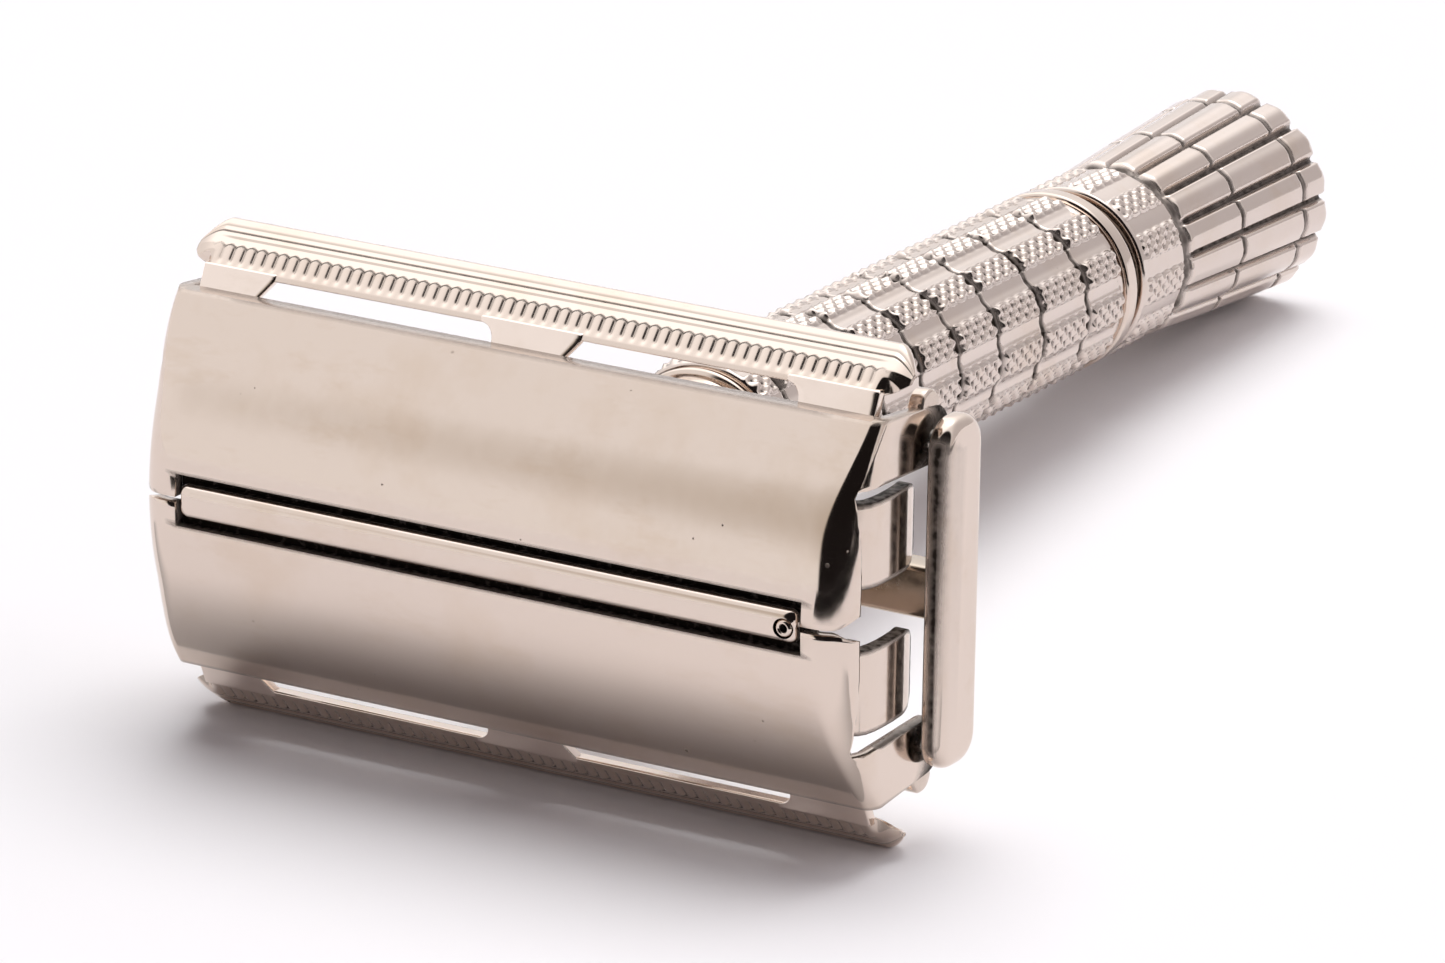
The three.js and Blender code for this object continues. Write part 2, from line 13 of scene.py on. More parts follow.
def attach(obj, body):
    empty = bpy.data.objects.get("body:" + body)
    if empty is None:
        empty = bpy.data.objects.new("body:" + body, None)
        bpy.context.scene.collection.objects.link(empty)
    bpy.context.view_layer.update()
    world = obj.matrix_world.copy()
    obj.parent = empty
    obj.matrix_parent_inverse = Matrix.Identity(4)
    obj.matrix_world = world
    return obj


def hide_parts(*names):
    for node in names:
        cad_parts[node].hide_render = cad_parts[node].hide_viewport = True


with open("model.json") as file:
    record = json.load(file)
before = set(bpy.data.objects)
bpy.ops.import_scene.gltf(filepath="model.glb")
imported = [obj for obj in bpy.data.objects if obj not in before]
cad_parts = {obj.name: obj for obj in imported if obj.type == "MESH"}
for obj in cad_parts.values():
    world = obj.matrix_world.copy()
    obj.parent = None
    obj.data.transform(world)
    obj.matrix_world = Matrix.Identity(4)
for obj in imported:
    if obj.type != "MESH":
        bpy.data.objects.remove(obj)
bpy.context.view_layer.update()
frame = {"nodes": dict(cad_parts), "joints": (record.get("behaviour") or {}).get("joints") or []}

MM = 0.001
joints = {joint["name"]: joint for joint in frame["joints"]}

# ---- the razor's own frame, from the joints ----
PIVOT_Y = 8.0
PIVOT_Z = -5.3
ALONG = Vector(joints["knob_twist"]["axis"]).normalized()
pivot_upper = Vector(joints["door_upper_swing"]["pos_m"])
pivot_lower = Vector(joints["door_lower_swing"]["pos_m"])
ACROSS = (pivot_upper - pivot_lower).normalized()
ORIGIN = (pivot_upper + pivot_lower) / 2 - ALONG * PIVOT_Z * MM


def placed(x_axis, y_axis, z_axis, origin):
    """Matrix of a frame with these axes and this origin."""
    columns = [(*axis, 0) for axis in (x_axis, y_axis, z_axis)] + [(*origin, 1)]
    return Matrix(columns).transposed()


def added(name, data):
    """A new object in the scene."""
    thing = bpy.data.objects.new(name, data)
    bpy.context.scene.collection.objects.link(thing)
    return thing


RAZOR = placed(Vector((1, 0, 0)), ACROSS, ALONG, ORIGIN) @ Matrix.Diagonal((MM, MM, MM, 1))

# ---- camera: the viewing angle, lens and framing ----
AZIMUTH = math.radians(31.547)
ELEVATION = math.radians(22.820)
ROLL = math.radians(-2.117)
DISTANCE = 0.45442
LENS = 225.4
AIM = RAZOR @ Vector((12.057, 5.606, 0))


def make_camera():
    """Camera that looks at AIM from the viewing angle, rolled about its own axis."""
    right = Vector((math.cos(AZIMUTH), math.sin(AZIMUTH), 0))
    ahead = Vector((-math.sin(AZIMUTH) * math.cos(ELEVATION),
                    math.cos(AZIMUTH) * math.cos(ELEVATION), -math.sin(ELEVATION)))
    level = right.cross(ahead)
    up = level * math.cos(ROLL) - right * math.sin(ROLL)
    side = ahead.cross(up)
    place = AIM - ahead * DISTANCE
    data = bpy.data.cameras.new("camera")
    data.lens = LENS
    data.sensor_width = 36
    data.clip_start = 0.01
    camera = added("camera", data)
    camera.matrix_world = placed(side, up, -ahead, place)
    bpy.context.scene.camera = camera


make_camera()

# ---- driving dimensions, in the razor's frame ----
SHEET = 0.8
DOOR_HALF_LENGTH = 21.18
DOOR_HALF_WIDTH = 10.25
DOOR_CROWN = 3.49
DOOR_SHEET = 0.7
DOOR_GAP = 0.15
DOOR_NOTCH_HALF_LENGTH = 18.75
DOOR_NOTCH_HALF_WIDTH = 1.41
DOOR_FOOT = 1.72
DOOR_ARM_INNER = 7.0
DOOR_BEND = 1.75
KNUCKLE_RADIUS = 1.5
KNUCKLE_Y = 8.3
PLATFORM_DEPTH = 0.85
PLATFORM_HALF_LENGTH = 19.9
PLATFORM_HALF_WIDTH = 9.3
NOTCH_HALF_WIDTH = 1.62
TAB_OUTER_Y = 6.1
BRIDGE_HALF_LENGTH = 20.2
RAIL_HALF_LENGTH = 21.35
RAIL_INNER = 11.25
RAIL_INNER_Z = -1.35
SLOT_OUTER_END = 15.75
SLOT_INNER_END = 2.35
LIP_Y = 12.78
LIP_Z = -3.9
LIP_RADIUS = 0.6
BAR_HALF_LENGTH = 18.5
BAR_HALF_WIDTH = 0.9
BAR_TOP = 3.64
BAR_RIVET_X = 17.6
CAP_INNER = 21.55
CAP_OUTER = 22.75
CAP_HALF_WIDTH = 9.3
CAP_TOP = -4.0
CAP_BOTTOM = -7.9
CARRIER_HALF_LENGTH = 22.0
CARRIER_HALF_WIDTH = 1.4
CARRIER_TOP = -4.7
CARRIER_DEPTH = 1.9
NECK_BORE = 3.2
NECK_FOOT = -24.0
NECK_RADIUS = 4.1
BARREL_TOP = -18.5
BARREL_FOOT = -56.0
BARREL_BORE = 4.0
BARREL_PANELS = [4.1, 5.2, 4.8, 4.4, 4.2, 4.2, 4.2, 4.2]
RING_FOOT = -57.3
RING_BORE = 2.95
RING_SLEEVE_RADIUS = 3.92
RING_SLEEVE_TOP = -54.4
KNOB_TOP = -58.4
KNOB_GROOVE = -63.5
KNOB_FOOT = -78.9
KNOB_BAND_RADIUS = 5.2
KNOB_FLARE_RADIUS = 6.15
KNOB_BORE = 4.0
KNOB_RIBS = 16
PLUG_TOP = -77.4

CROWN_RADIUS = (DOOR_HALF_WIDTH ** 2 + DOOR_CROWN ** 2) / (2 * DOOR_CROWN)
CROWN_CENTRE = DOOR_CROWN - CROWN_RADIUS


def crown(y, depth=0.0):
    """Height of the crowned surface at y, sunk by depth."""
    return CROWN_CENTRE + np.sqrt((CROWN_RADIUS - depth) ** 2 - np.square(y))


def smooth(low, high, value):
    """0 below low, 1 above high, and a smooth step between."""
    t = np.clip((value - low) / (high - low), 0, 1)
    return t * t * (3 - 2 * t)


# ---- mesh making ----

def make_mesh(name, points, faces, grime_and_shade=None):
    """Mesh with outward faces, in the scene's frame, from points in the razor's frame."""
    world = np.array(RAZOR)
    points = np.asarray(points, float) @ world[:3, :3].T + world[:3, 3]
    mesh = bpy.data.meshes.new(name)
    mesh.from_pydata(points.tolist(), [], faces)
    # Per-point mask that the nickel materials darken by: mostly painted shade, partly soiling.
    if grime_and_shade is not None:
        layer = mesh.attributes.new("grime_and_shade", "FLOAT", "POINT")
        layer.data.foreach_set("value", np.asarray(grime_and_shade, np.float32).ravel())
    turn_outward(mesh)
    return mesh


def make_object(name, points, faces, material, body, slot, grime_and_shade=None, bevel=0.0, node=None):
    """A piece riding on a body and standing for a CAD node, its namesake if none is given."""
    mesh = make_mesh(name, points, faces, grime_and_shade)
    mesh.shade_smooth()
    mesh.materials.append(material)
    piece = added(name, mesh)
    if bevel:
        edges = piece.modifiers.new("edges", "BEVEL")
        edges.width = bevel * MM
        edges.segments = 3
        edges.limit_method = "ANGLE"
        edges.angle_limit = math.radians(38)
        weld = piece.modifiers.new("weld", "WELD")
        weld.merge_threshold = 0.001 * MM
        even = piece.modifiers.new("even", "WEIGHTED_NORMAL")
        even.keep_sharp = True
    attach(piece, body)
    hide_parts(node or name)
    return piece


def turn_outward(mesh):
    """Makes every face of a mesh of closed solids point outward."""
    work = bmesh.new()
    work.from_mesh(mesh)
    bmesh.ops.recalc_face_normals(work, faces=work.faces)
    if work.calc_volume(signed=True) < 0:
        bmesh.ops.reverse_faces(work, faces=work.faces)
    work.to_mesh(mesh)
    work.free()


def quads(index, keep=slice(None)):
    """Faces between the neighbouring points of a grid of point numbers, over the kept cells."""
    corners = (index[:-1, :-1], index[1:, :-1], index[1:, 1:], index[:-1, 1:])
    return np.stack([c[keep].ravel() for c in corners], 1).tolist()


def skin(points, rows_closed=False):
    """Closed solid over a grid of points: its columns wrap round, and its rows wrap or end in caps."""
    rows, columns = points.shape[:2]
    index = np.arange(rows * columns).reshape(rows, columns)
    grid = np.hstack([index, index[:, :1]])
    if rows_closed:
        return points.reshape(-1, 3), quads(np.vstack([grid, grid[:1]]))
    caps = [index[0].tolist()[::-1], index[-1].tolist()]
    return points.reshape(-1, 3), quads(grid) + caps


def slab(outer, inner, keep=None):
    """Closed solid between two grids of points, over the cells that keep marks."""
    rows, columns = outer.shape[:2]
    if keep is None:
        keep = np.ones((rows - 1, columns - 1), bool)
    index = np.arange(rows * columns).reshape(rows, columns)
    under = index + rows * columns
    faces = quads(index, keep) + [face[::-1] for face in quads(under, keep)]
    padded = np.pad(keep, 1)
    for i, j in np.argwhere(padded[:-1, 1:-1] != padded[1:, 1:-1]):
        faces.append([index[i, j], index[i, j + 1], under[i, j + 1], under[i, j]])
    for i, j in np.argwhere(padded[1:-1, :-1] != padded[1:-1, 1:]):
        faces.append([index[i, j], index[i + 1, j], under[i + 1, j], under[i, j]])
    points = np.concatenate([outer.reshape(-1, 3), inner.reshape(-1, 3)])
    used = slab_used(keep)
    renumber = np.cumsum(used) - 1
    return points[used], renumber[np.array(faces)].tolist()


def slab_used(keep):
    """Which of a slab's points its kept cells use."""
    marks = np.zeros((keep.shape[0] + 1, keep.shape[1] + 1), bool)
    for i in (0, 1):
        for j in (0, 1):
            marks[i:i + keep.shape[0], j:j + keep.shape[1]] |= keep
    return np.tile(marks.ravel(), 2)


def joined(solids):
    """Several solids' points and faces as one."""
    points, faces, start = [], [], 0
    for some_points, some_faces in solids:
        points.append(some_points)
        faces += [[int(k) + start for k in f] for f in some_faces]
        start += len(some_points)
    return np.concatenate(points), faces


def mirrored(solid, flip_x=False, flip_y=False):
    """A solid's points mirrored across the head's middle planes."""
    points, faces = solid
    signs = np.array([-1 if flip_x else 1, -1 if flip_y else 1, 1])
    return points * signs, faces


def resampled(points, step):
    """A closed outline with points added so that none are further apart than step."""
    points = np.asarray(points, float)
    out = []
    for a, b in zip(points, np.roll(points, -1, axis=0)):
        count = max(1, math.ceil(np.linalg.norm(b - a) / step))
        out += [a + (b - a) * k / count for k in range(count)]
    return np.array(out)


def arc(cx, cy, radius, start, end, steps):
    """Points of an arc between two angles in degrees."""
    angles = np.radians(np.linspace(start, end, steps + 1))
    return [[cx + radius * math.cos(a), cy + radius * math.sin(a)] for a in angles]


def turned_grid(radius, z, segments):
    """Grid of points of a turned shape, one row per z, with a radius per row or per point."""
    angle = np.linspace(0, 2 * np.pi, segments, endpoint=False)
    parts = np.broadcast_arrays(radius * np.cos(angle), radius * np.sin(angle), z[:, None])
    return np.stack(parts, 2)


def turned(profile, segments):
    """Grid of points of a turned shape, from profile rows of [radius, z]."""
    radius, z = np.array(profile, float).T
    return turned_grid(radius[:, None], z, segments)


# ---- materials ----

def mix_colours(tree, factor, a, b):
    """Mix of two colours, each a plain tuple or another node's output."""
    node = tree.nodes.new("ShaderNodeMix")
    node.data_type = "RGBA"
    tree.links.new(factor, node.inputs["Factor"])
    for value, socket in ((a, node.inputs[6]), (b, node.inputs[7])):
        if isinstance(value, tuple):
            socket.default_value = (*value, 1)
        else:
            tree.links.new(value, socket)
    return node.outputs[2]


def map_range(tree, value, low, high, out_low=0.0, out_high=1.0, soft=False):
    """Another node's output mapped from one range to another."""
    node = tree.nodes.new("ShaderNodeMapRange")
    if soft:
        node.interpolation_type = "SMOOTHSTEP"
    node.inputs["From Min"].default_value = low
    node.inputs["From Max"].default_value = high
    node.inputs["To Min"].default_value = out_low
    node.inputs["To Max"].default_value = out_high
    tree.links.new(value, node.inputs["Value"])
    return node.outputs["Result"]


class Nodes:
    """Short calls for building one material's node tree."""

    def __init__(self, name):
        self.material = bpy.data.materials.new(name)
        self.material.use_nodes = True
        self.tree = self.material.node_tree
        self.shader = self.tree.nodes["Principled BSDF"]
        place = self.tree.nodes.new("ShaderNodeTexCoord")
        scaled = self.tree.nodes.new("ShaderNodeVectorMath")
        scaled.operation = "SCALE"
        scaled.inputs["Scale"].default_value = 1 / MM
        self.link(place.outputs["Object"], scaled.inputs[0])
        self.place = scaled.outputs[0]

    def link(self, a, b):
        self.tree.links.new(a, b)

    def noise(self, scale, detail=3.0, rough=0.5, stretch=None):
        node = self.tree.nodes.new("ShaderNodeTexNoise")
        node.inputs["Scale"].default_value = scale
        node.inputs["Detail"].default_value = detail
        node.inputs["Roughness"].default_value = rough
        place = self.place
        if stretch:
            warp = self.tree.nodes.new("ShaderNodeVectorMath")
            warp.operation = "MULTIPLY"
            warp.inputs[1].default_value = stretch
            self.link(place, warp.inputs[0])
            place = warp.outputs[0]
        self.link(place, node.inputs["Vector"])
        return node.outputs["Fac"]

    def spots(self, scale, size, share):
        """Small round spots in some of the cells of a Voronoi pattern."""
        node = self.tree.nodes.new("ShaderNodeTexVoronoi")
        node.inputs["Scale"].default_value = scale
        self.link(self.place, node.inputs["Vector"])
        near = self.ranged(node.outputs["Distance"], size, size * 0.4)
        pick = self.tree.nodes.new("ShaderNodeSeparateColor")
        self.link(node.outputs["Color"], pick.inputs[0])
        chosen = self.ranged(pick.outputs[0], 1 - share, 1 - share + 0.02)
        return self.math("MULTIPLY", near, chosen)

    def ranged(self, value, low, high, out_low=0.0, out_high=1.0):
        return map_range(self.tree, value, low, high, out_low, out_high)

    def math(self, operation, a, b, clamp=False):
        node = self.tree.nodes.new("ShaderNodeMath")
        node.operation = operation
        node.use_clamp = clamp
        for value, socket in ((a, node.inputs[0]), (b, node.inputs[1])):
            if isinstance(value, (int, float)):
                socket.default_value = value
            else:
                self.link(value, socket)
        return node.outputs[0]

    def mix(self, factor, a, b):
        return mix_colours(self.tree, factor, a, b)

    def attribute(self, name):
        node = self.tree.nodes.new("ShaderNodeAttribute")
        node.attribute_name = name
        return node.outputs["Fac"]

    def bump(self, height, strength, distance, before=None):
        node = self.tree.nodes.new("ShaderNodeBump")
        node.inputs["Strength"].default_value = strength
        node.inputs["Distance"].default_value = distance * MM
        self.link(height, node.inputs["Height"])
        if before is not None:
            self.link(before, node.inputs["Normal"])
        return node.outputs["Normal"]


PIT_COLOUR = (0.12, 0.085, 0.06)
# Near-black mixed in by the per-point mask: painted shade in gaps, recesses and on inner faces, partly
# soiling.
DIRT_AND_SHADE_COLOUR = (0.024, 0.018, 0.014)


def plated(name, colour, stain, stain_amount, roughness, pits, brushed=0.0):
    """Nickel plate: soft yellowish stains, pits and fine wear, and a near-black mix from a per-point
    mask: painted shade in gaps, recesses and on inner faces, partly soiling.
    """
    n = Nodes(name)
    cloud = n.ranged(n.noise(0.16, 4, 0.6), 0.5, 0.72)
    streak = n.ranged(n.noise(0.5, 5, 0.65, (0.35, 1, 1)), 0.55, 0.75)
    stained = n.math("MULTIPLY", n.math("ADD", cloud, streak, True), stain_amount)
    base = n.mix(stained, colour, stain)
    pit = n.math("ADD", n.spots(0.55, 0.085, pits), n.spots(1.3, 0.10, pits * 0.5), True)
    base = n.mix(n.math("MULTIPLY", pit, 0.75), base, PIT_COLOUR)
    # Per-point mask towards near-black, mostly painted shade.
    dirt_and_shade = n.attribute("grime_and_shade")
    darkened = n.math("MULTIPLY", dirt_and_shade, n.ranged(n.noise(2.5, 3), 0.25, 0.75, 0.85, 1.2), True)
    base = n.mix(darkened, base, DIRT_AND_SHADE_COLOUR)
    n.link(base, n.shader.inputs["Base Color"])
    wear = n.ranged(n.noise(1.1, 6, 0.7), 0.3, 0.8, roughness * 0.75, roughness * 1.45)
    wear = n.math("ADD", wear, n.math("MULTIPLY", stained, 0.08))
    wear = n.math("ADD", wear, n.math("MULTIPLY", n.math("MAXIMUM", darkened, pit), 0.35), True)
    n.link(wear, n.shader.inputs["Roughness"])
    bare_share = n.math("SUBTRACT", 1.0, n.math("MULTIPLY", darkened, 0.95))
    n.link(bare_share, n.shader.inputs["Metallic"])
    n.link(n.math("MULTIPLY", bare_share, 0.5), n.shader.inputs["Specular IOR Level"])
    swell = n.bump(n.noise(0.28, 2), 0.35, 0.035)
    scratch = n.bump(n.noise(9, 4, 0.6, (0.12, 1, 1)), 0.05 + brushed, 0.004, swell)
    sunk = n.math("SUBTRACT", 1.0, pit)
    n.link(n.bump(sunk, 0.5, 0.03, scratch), n.shader.inputs["Normal"])
    return n.material


def turned_metal(name, colour, dark, roughness):
    """Machined brass or steel with turning marks and tarnish."""
    n = Nodes(name)
    tarnish = n.ranged(n.noise(0.35, 5, 0.65), 0.42, 0.75)
    base = n.mix(tarnish, colour, dark)
    n.link(base, n.shader.inputs["Base Color"])
    n.shader.inputs["Metallic"].default_value = 1.0
    rough = n.ranged(n.noise(1.4, 5, 0.6), 0.3, 0.8, roughness * 0.8, roughness * 1.4)
    n.link(rough, n.shader.inputs["Roughness"])
    marks = n.bump(n.noise(4, 4, 0.6, (0.1, 3, 0.1)), 0.25, 0.01)
    n.link(marks, n.shader.inputs["Normal"])
    return n.material


NICKEL = (0.71, 0.605, 0.53)
# Lighter nickel: painted light for the guard's platform and webs.
LIGHTENED_NICKEL = (0.84, 0.73, 0.655)
KNURLED_NICKEL = (0.70, 0.61, 0.555)
WORN_NICKEL = (0.52, 0.44, 0.36)
STAIN = (0.60, 0.46, 0.34)
WORN_STAIN = (0.30, 0.22, 0.15)
BRASS = (0.62, 0.42, 0.18)
DARK_BRASS = (0.25, 0.15, 0.06)
STEEL = (0.46, 0.44, 0.42)
DARK_STEEL = (0.20, 0.17, 0.14)

bright = plated("nickel_bright", NICKEL, STAIN, 0.30, 0.10, 0.10)
plate = plated("nickel_plate", NICKEL, STAIN, 0.35, 0.115, 0.05)
# A lighter copy of the nickel, painted light that makes the guard's platform and webs read brighter.
lightened_nickel = plated("nickel_painted_lighter", LIGHTENED_NICKEL, STAIN, 0.20, 0.10, 0.04)
knurled = plated("nickel_knurled", KNURLED_NICKEL, STAIN, 0.25, 0.12, 0.02)
worn = plated("nickel_worn", WORN_NICKEL, WORN_STAIN, 0.6, 0.22, 0.08, 0.08)
brass = turned_metal("brass_turned", BRASS, DARK_BRASS, 0.28)
steel = turned_metal("steel", STEEL, DARK_STEEL, 0.28)


# ---- doors ----

DOOR_CORNER_Y = 1.2
DOOR_CORNER_SHIFT = 0.5
DOOR_ARM_COLUMNS = 16
DOOR_WALL_COLUMNS = 12
DOOR_NOTCH_COLUMN = DOOR_ARM_COLUMNS + DOOR_WALL_COLUMNS + 1
DOOR_NOTCH_ROWS = 5


def door_bend(y):
    """Radius of the bend at the door's end: full in the middle of the head, tight at the corners."""
    return DOOR_BEND - 1.05 * float(smooth(4.5, DOOR_HALF_WIDTH, y))


def door_end_path(y, sunk, foot):
    """A door's end at one y, from the top of the bend down to its foot. Rows of (x, y, z)."""
    bend = door_bend(y)
    radius = bend - sunk
    straight = DOOR_HALF_LENGTH - bend
    angles = np.radians(np.linspace(90, 0, 46))
    x = straight + radius * np.cos(angles)
    z = crown(y, bend - radius * np.sin(angles))
    path = np.stack([x, np.full_like(x, y), z], 1)
    if y < DOOR_ARM_INNER - 1e-6:
        if z[-1] > foot:
            return np.vstack([path, [x[-1], y, foot]]), None
        return path[:max(2, int(np.argmax(z <= foot)) + 1)], None
    share = (y - DOOR_ARM_INNER) / (DOOR_HALF_WIDTH - DOOR_ARM_INNER)
    split = 22 + int(round(23 * share))
    angle = math.pi * (1 + share)
    low = [x[-1], KNUCKLE_Y + KNUCKLE_RADIUS * math.cos(angle),
           PIVOT_Z + KNUCKLE_RADIUS * math.sin(angle)]
    return path[:split + 1], np.vstack([path[split:], [low]])


def spread(path, rows):
    """A path resampled to a number of evenly spaced rows."""
    length = np.concatenate([[0], np.cumsum(np.linalg.norm(np.diff(path, axis=0), axis=1))])
    at = np.linspace(0, length[-1], rows)
    return np.stack([np.interp(at, length, path[:, k]) for k in range(3)], 1)


def door_surface(y_stations, sunk):
    """Grid of one face of a door: half of it, from the middle of the head out and down one end."""
    top = [0, 6, 12, 17, DOOR_NOTCH_HALF_LENGTH - 0.3, DOOR_NOTCH_HALF_LENGTH]
    bend_rows, arm_rows = 16, 12
    start = len(top)
    grid = np.zeros((start + bend_rows + arm_rows, len(y_stations), 3))
    for j, y in enumerate(y_stations):
        for i, x in enumerate(top):
            grid[i, j] = (x, y, crown(y, sunk))
        end, arm = door_end_path(y, sunk, DOOR_FOOT)
        grid[start:start + bend_rows, j] = spread(end, bend_rows)
        if arm is not None:
            grid[start + bend_rows:, j] = spread(arm, arm_rows + 1)[1:]
    corner = y_stations < DOOR_CORNER_Y
    ease = np.clip((DOOR_CORNER_Y - y_stations[corner]) / (DOOR_CORNER_Y - DOOR_GAP), 0, 1)
    for i in range(bend_rows):
        t = smooth(0.35, 1.0, i / (bend_rows - 1))
        grid[start + i, corner, 1] += DOOR_CORNER_SHIFT * t * ease
    return grid, start + bend_rows


def door_stations():
    """The y of each column of a door's grid, from its outer edge in to the gap between the doors."""
    arm = np.linspace(DOOR_HALF_WIDTH, DOOR_ARM_INNER, DOOR_ARM_COLUMNS)
    wall = np.linspace(DOOR_ARM_INNER - 0.3, DOOR_NOTCH_HALF_WIDTH + 0.5, DOOR_WALL_COLUMNS)
    notch = [DOOR_NOTCH_HALF_WIDTH + 0.17, DOOR_NOTCH_HALF_WIDTH]
    lip = [1.1, 0.75, 0.45, DOOR_GAP]
    return np.concatenate([arm, wall, notch, lip])


def door_cells(rows, columns, arm_depth):
    """Which cells of a door's grid are there: none in the notch or between the arms."""
    middle = rows // 2
    keep = np.ones((rows - 1, columns - 1), bool)
    keep[middle - DOOR_NOTCH_ROWS:middle + DOOR_NOTCH_ROWS, DOOR_NOTCH_COLUMN:] = False
    keep[:arm_depth, DOOR_ARM_COLUMNS - 1:] = False
    keep[-arm_depth:, DOOR_ARM_COLUMNS - 1:] = False
    return keep


def door_painted_shade(rows, columns, arm_depth):
    """Darkening on a door's outer and inner faces: painted shade on the inner face, in the notch,
    along its cut edges and on the arms.
    """
    middle = rows // 2
    notch = slice(middle - DOOR_NOTCH_ROWS, middle + DOOR_NOTCH_ROWS + 1)
    outer = np.zeros((rows, columns))
    inner = np.full((rows, columns), 0.35)
    inner[notch, DOOR_NOTCH_COLUMN - 1:] = 1.0
    outer[notch, DOOR_NOTCH_COLUMN] = 0.5
    outer[:, 0] = 0.3
    for depth, shade in enumerate((0.95, 0.9, 0.55, 0.15)):
        outer[depth, :DOOR_ARM_COLUMNS] = shade
        outer[-1 - depth, :DOOR_ARM_COLUMNS] = shade
    outer[:arm_depth - 3, DOOR_ARM_COLUMNS - 1] = 0.8
    outer[3 - arm_depth:, DOOR_ARM_COLUMNS - 1] = 0.8
    return np.concatenate([outer.ravel(), inner.ravel()])


def door(name, side):
    """One door: crowned top, bent ends with arms down to the hinges, and rolled hinge barrels."""
    stations = door_stations()
    half_outer, arm_start = door_surface(stations, 0.0)
    half_inner, _ = door_surface(stations, DOOR_SHEET)
    flip = np.array([-1, 1, 1])
    outer = np.concatenate([half_outer[:0:-1] * flip, half_outer])
    inner = np.concatenate([half_inner[:0:-1] * flip, half_inner])
    rows, columns = outer.shape[:2]
    arm_depth = len(half_outer) - arm_start
    keep = door_cells(rows, columns, arm_depth)
    dirt_and_shade = door_painted_shade(rows, columns, arm_depth)[slab_used(keep)]
    barrels = [mirrored(hinge_barrel(), flip_x=end) for end in (False, True)]
    points, faces = joined([slab(outer, inner, keep), *barrels])
    # The hinge barrels are darkened a little.
    dirt_and_shade = np.concatenate([dirt_and_shade, np.full(len(points) - len(dirt_and_shade), 0.1)])
    if side < 0:
        points = points * np.array([-1, -1, 1])
    make_object(name, points, faces, bright, name, "nickel_bright", dirt_and_shade, 0.13)


def hinge_barrel():
    """Rolled barrel at the outer corner of a door's arm, along X."""
    radius, y, z = 0.92, 9.8, -5.0
    near, far = DOOR_HALF_LENGTH - 0.95, DOOR_HALF_LENGTH - 0.02
    profile = [[0.3, near + 0.12], [radius - 0.12, near], [radius, near + 0.12],
               [radius, far - 0.12], [radius - 0.12, far], [0.3, far - 0.02]]
    points, faces = skin(turned(profile, 28))
    return points[:, [2, 0, 1]] + np.array([0, y, z]), faces


# ---- guard ----

# How much lower across the head the guard sits than the doors.
GUARD_DROP = 0.16
FLUTE_PITCH = 0.66
FLUTE_DEPTH = 0.07
FLUTED_HALF_LENGTH = 20.5
FLUTE_TOP = (11.45, -1.5)
FLUTE_TIP = (12.45, -2.36)
FLUTE_STEP = 0.06
CREASE = (12.95, -3.05)
RAIL_END_ROUND = 1.35
RAIL_CORE = (11.95, -2.7)
ARM_SWEEP_Z = -2.08


def rail_outline():
    """Closed section of a rail in (y, z): fluted slope, bright bevel, crease, rolled lip, inside."""
    lip = arc(LIP_Y, LIP_Z, LIP_RADIUS - 0.01, 62, -125, 22)
    inside = [[12.38, -4.1], [12.33, -3.55], [12.1, -3.1], [11.45, -2.3], [11.2, -2.15]]
    return [[RAIL_INNER - 0.07, -1.45], [RAIL_INNER, -1.36], FLUTE_TOP, FLUTE_TIP,
            [CREASE[0] - 0.05, CREASE[1] + 0.06], [CREASE[0] - 0.09, CREASE[1] - 0.02],
            [CREASE[0] + 0.03, CREASE[1] - 0.05], *lip, *inside]


def rail_flutes(section, x):
    """Depth of the flutes' cut into the section at each x, and the painted shade in the flutes and
    along their tips.
    """
    slope = np.array(FLUTE_TIP) - FLUTE_TOP
    reach = np.linalg.norm(slope)
    down = (section - FLUTE_TOP) @ slope / reach
    off_face = (section - FLUTE_TOP) @ np.array([-slope[1], slope[0]]) / reach
    hollow = 1 - np.abs(np.sin(np.pi * (x[:, None] / FLUTE_PITCH + 0.5)))
    past_tip = down - (reach - 0.02 - 0.17 * hollow)
    fade = 1 - smooth(FLUTED_HALF_LENGTH - 1.6, FLUTED_HALF_LENGTH, np.abs(x))[:, None]
    fade = fade * (np.abs(off_face) < 0.12)
    groove = hollow ** 1.6 * smooth(0.05, 0.5, down) * (1 - smooth(0, 0.07, past_tip)) * fade
    cut = FLUTE_DEPTH * groove + FLUTE_STEP * smooth(0, 0.05, past_tip) * fade
    # A thin painted dark line along the flutes' tips.
    tip_line = (1 - smooth(0.035, 0.1, np.abs(past_tip - 0.03))) * fade
    return cut, np.maximum(0.42 * smooth(0.45, 0.95, groove), 0.85 * tip_line)


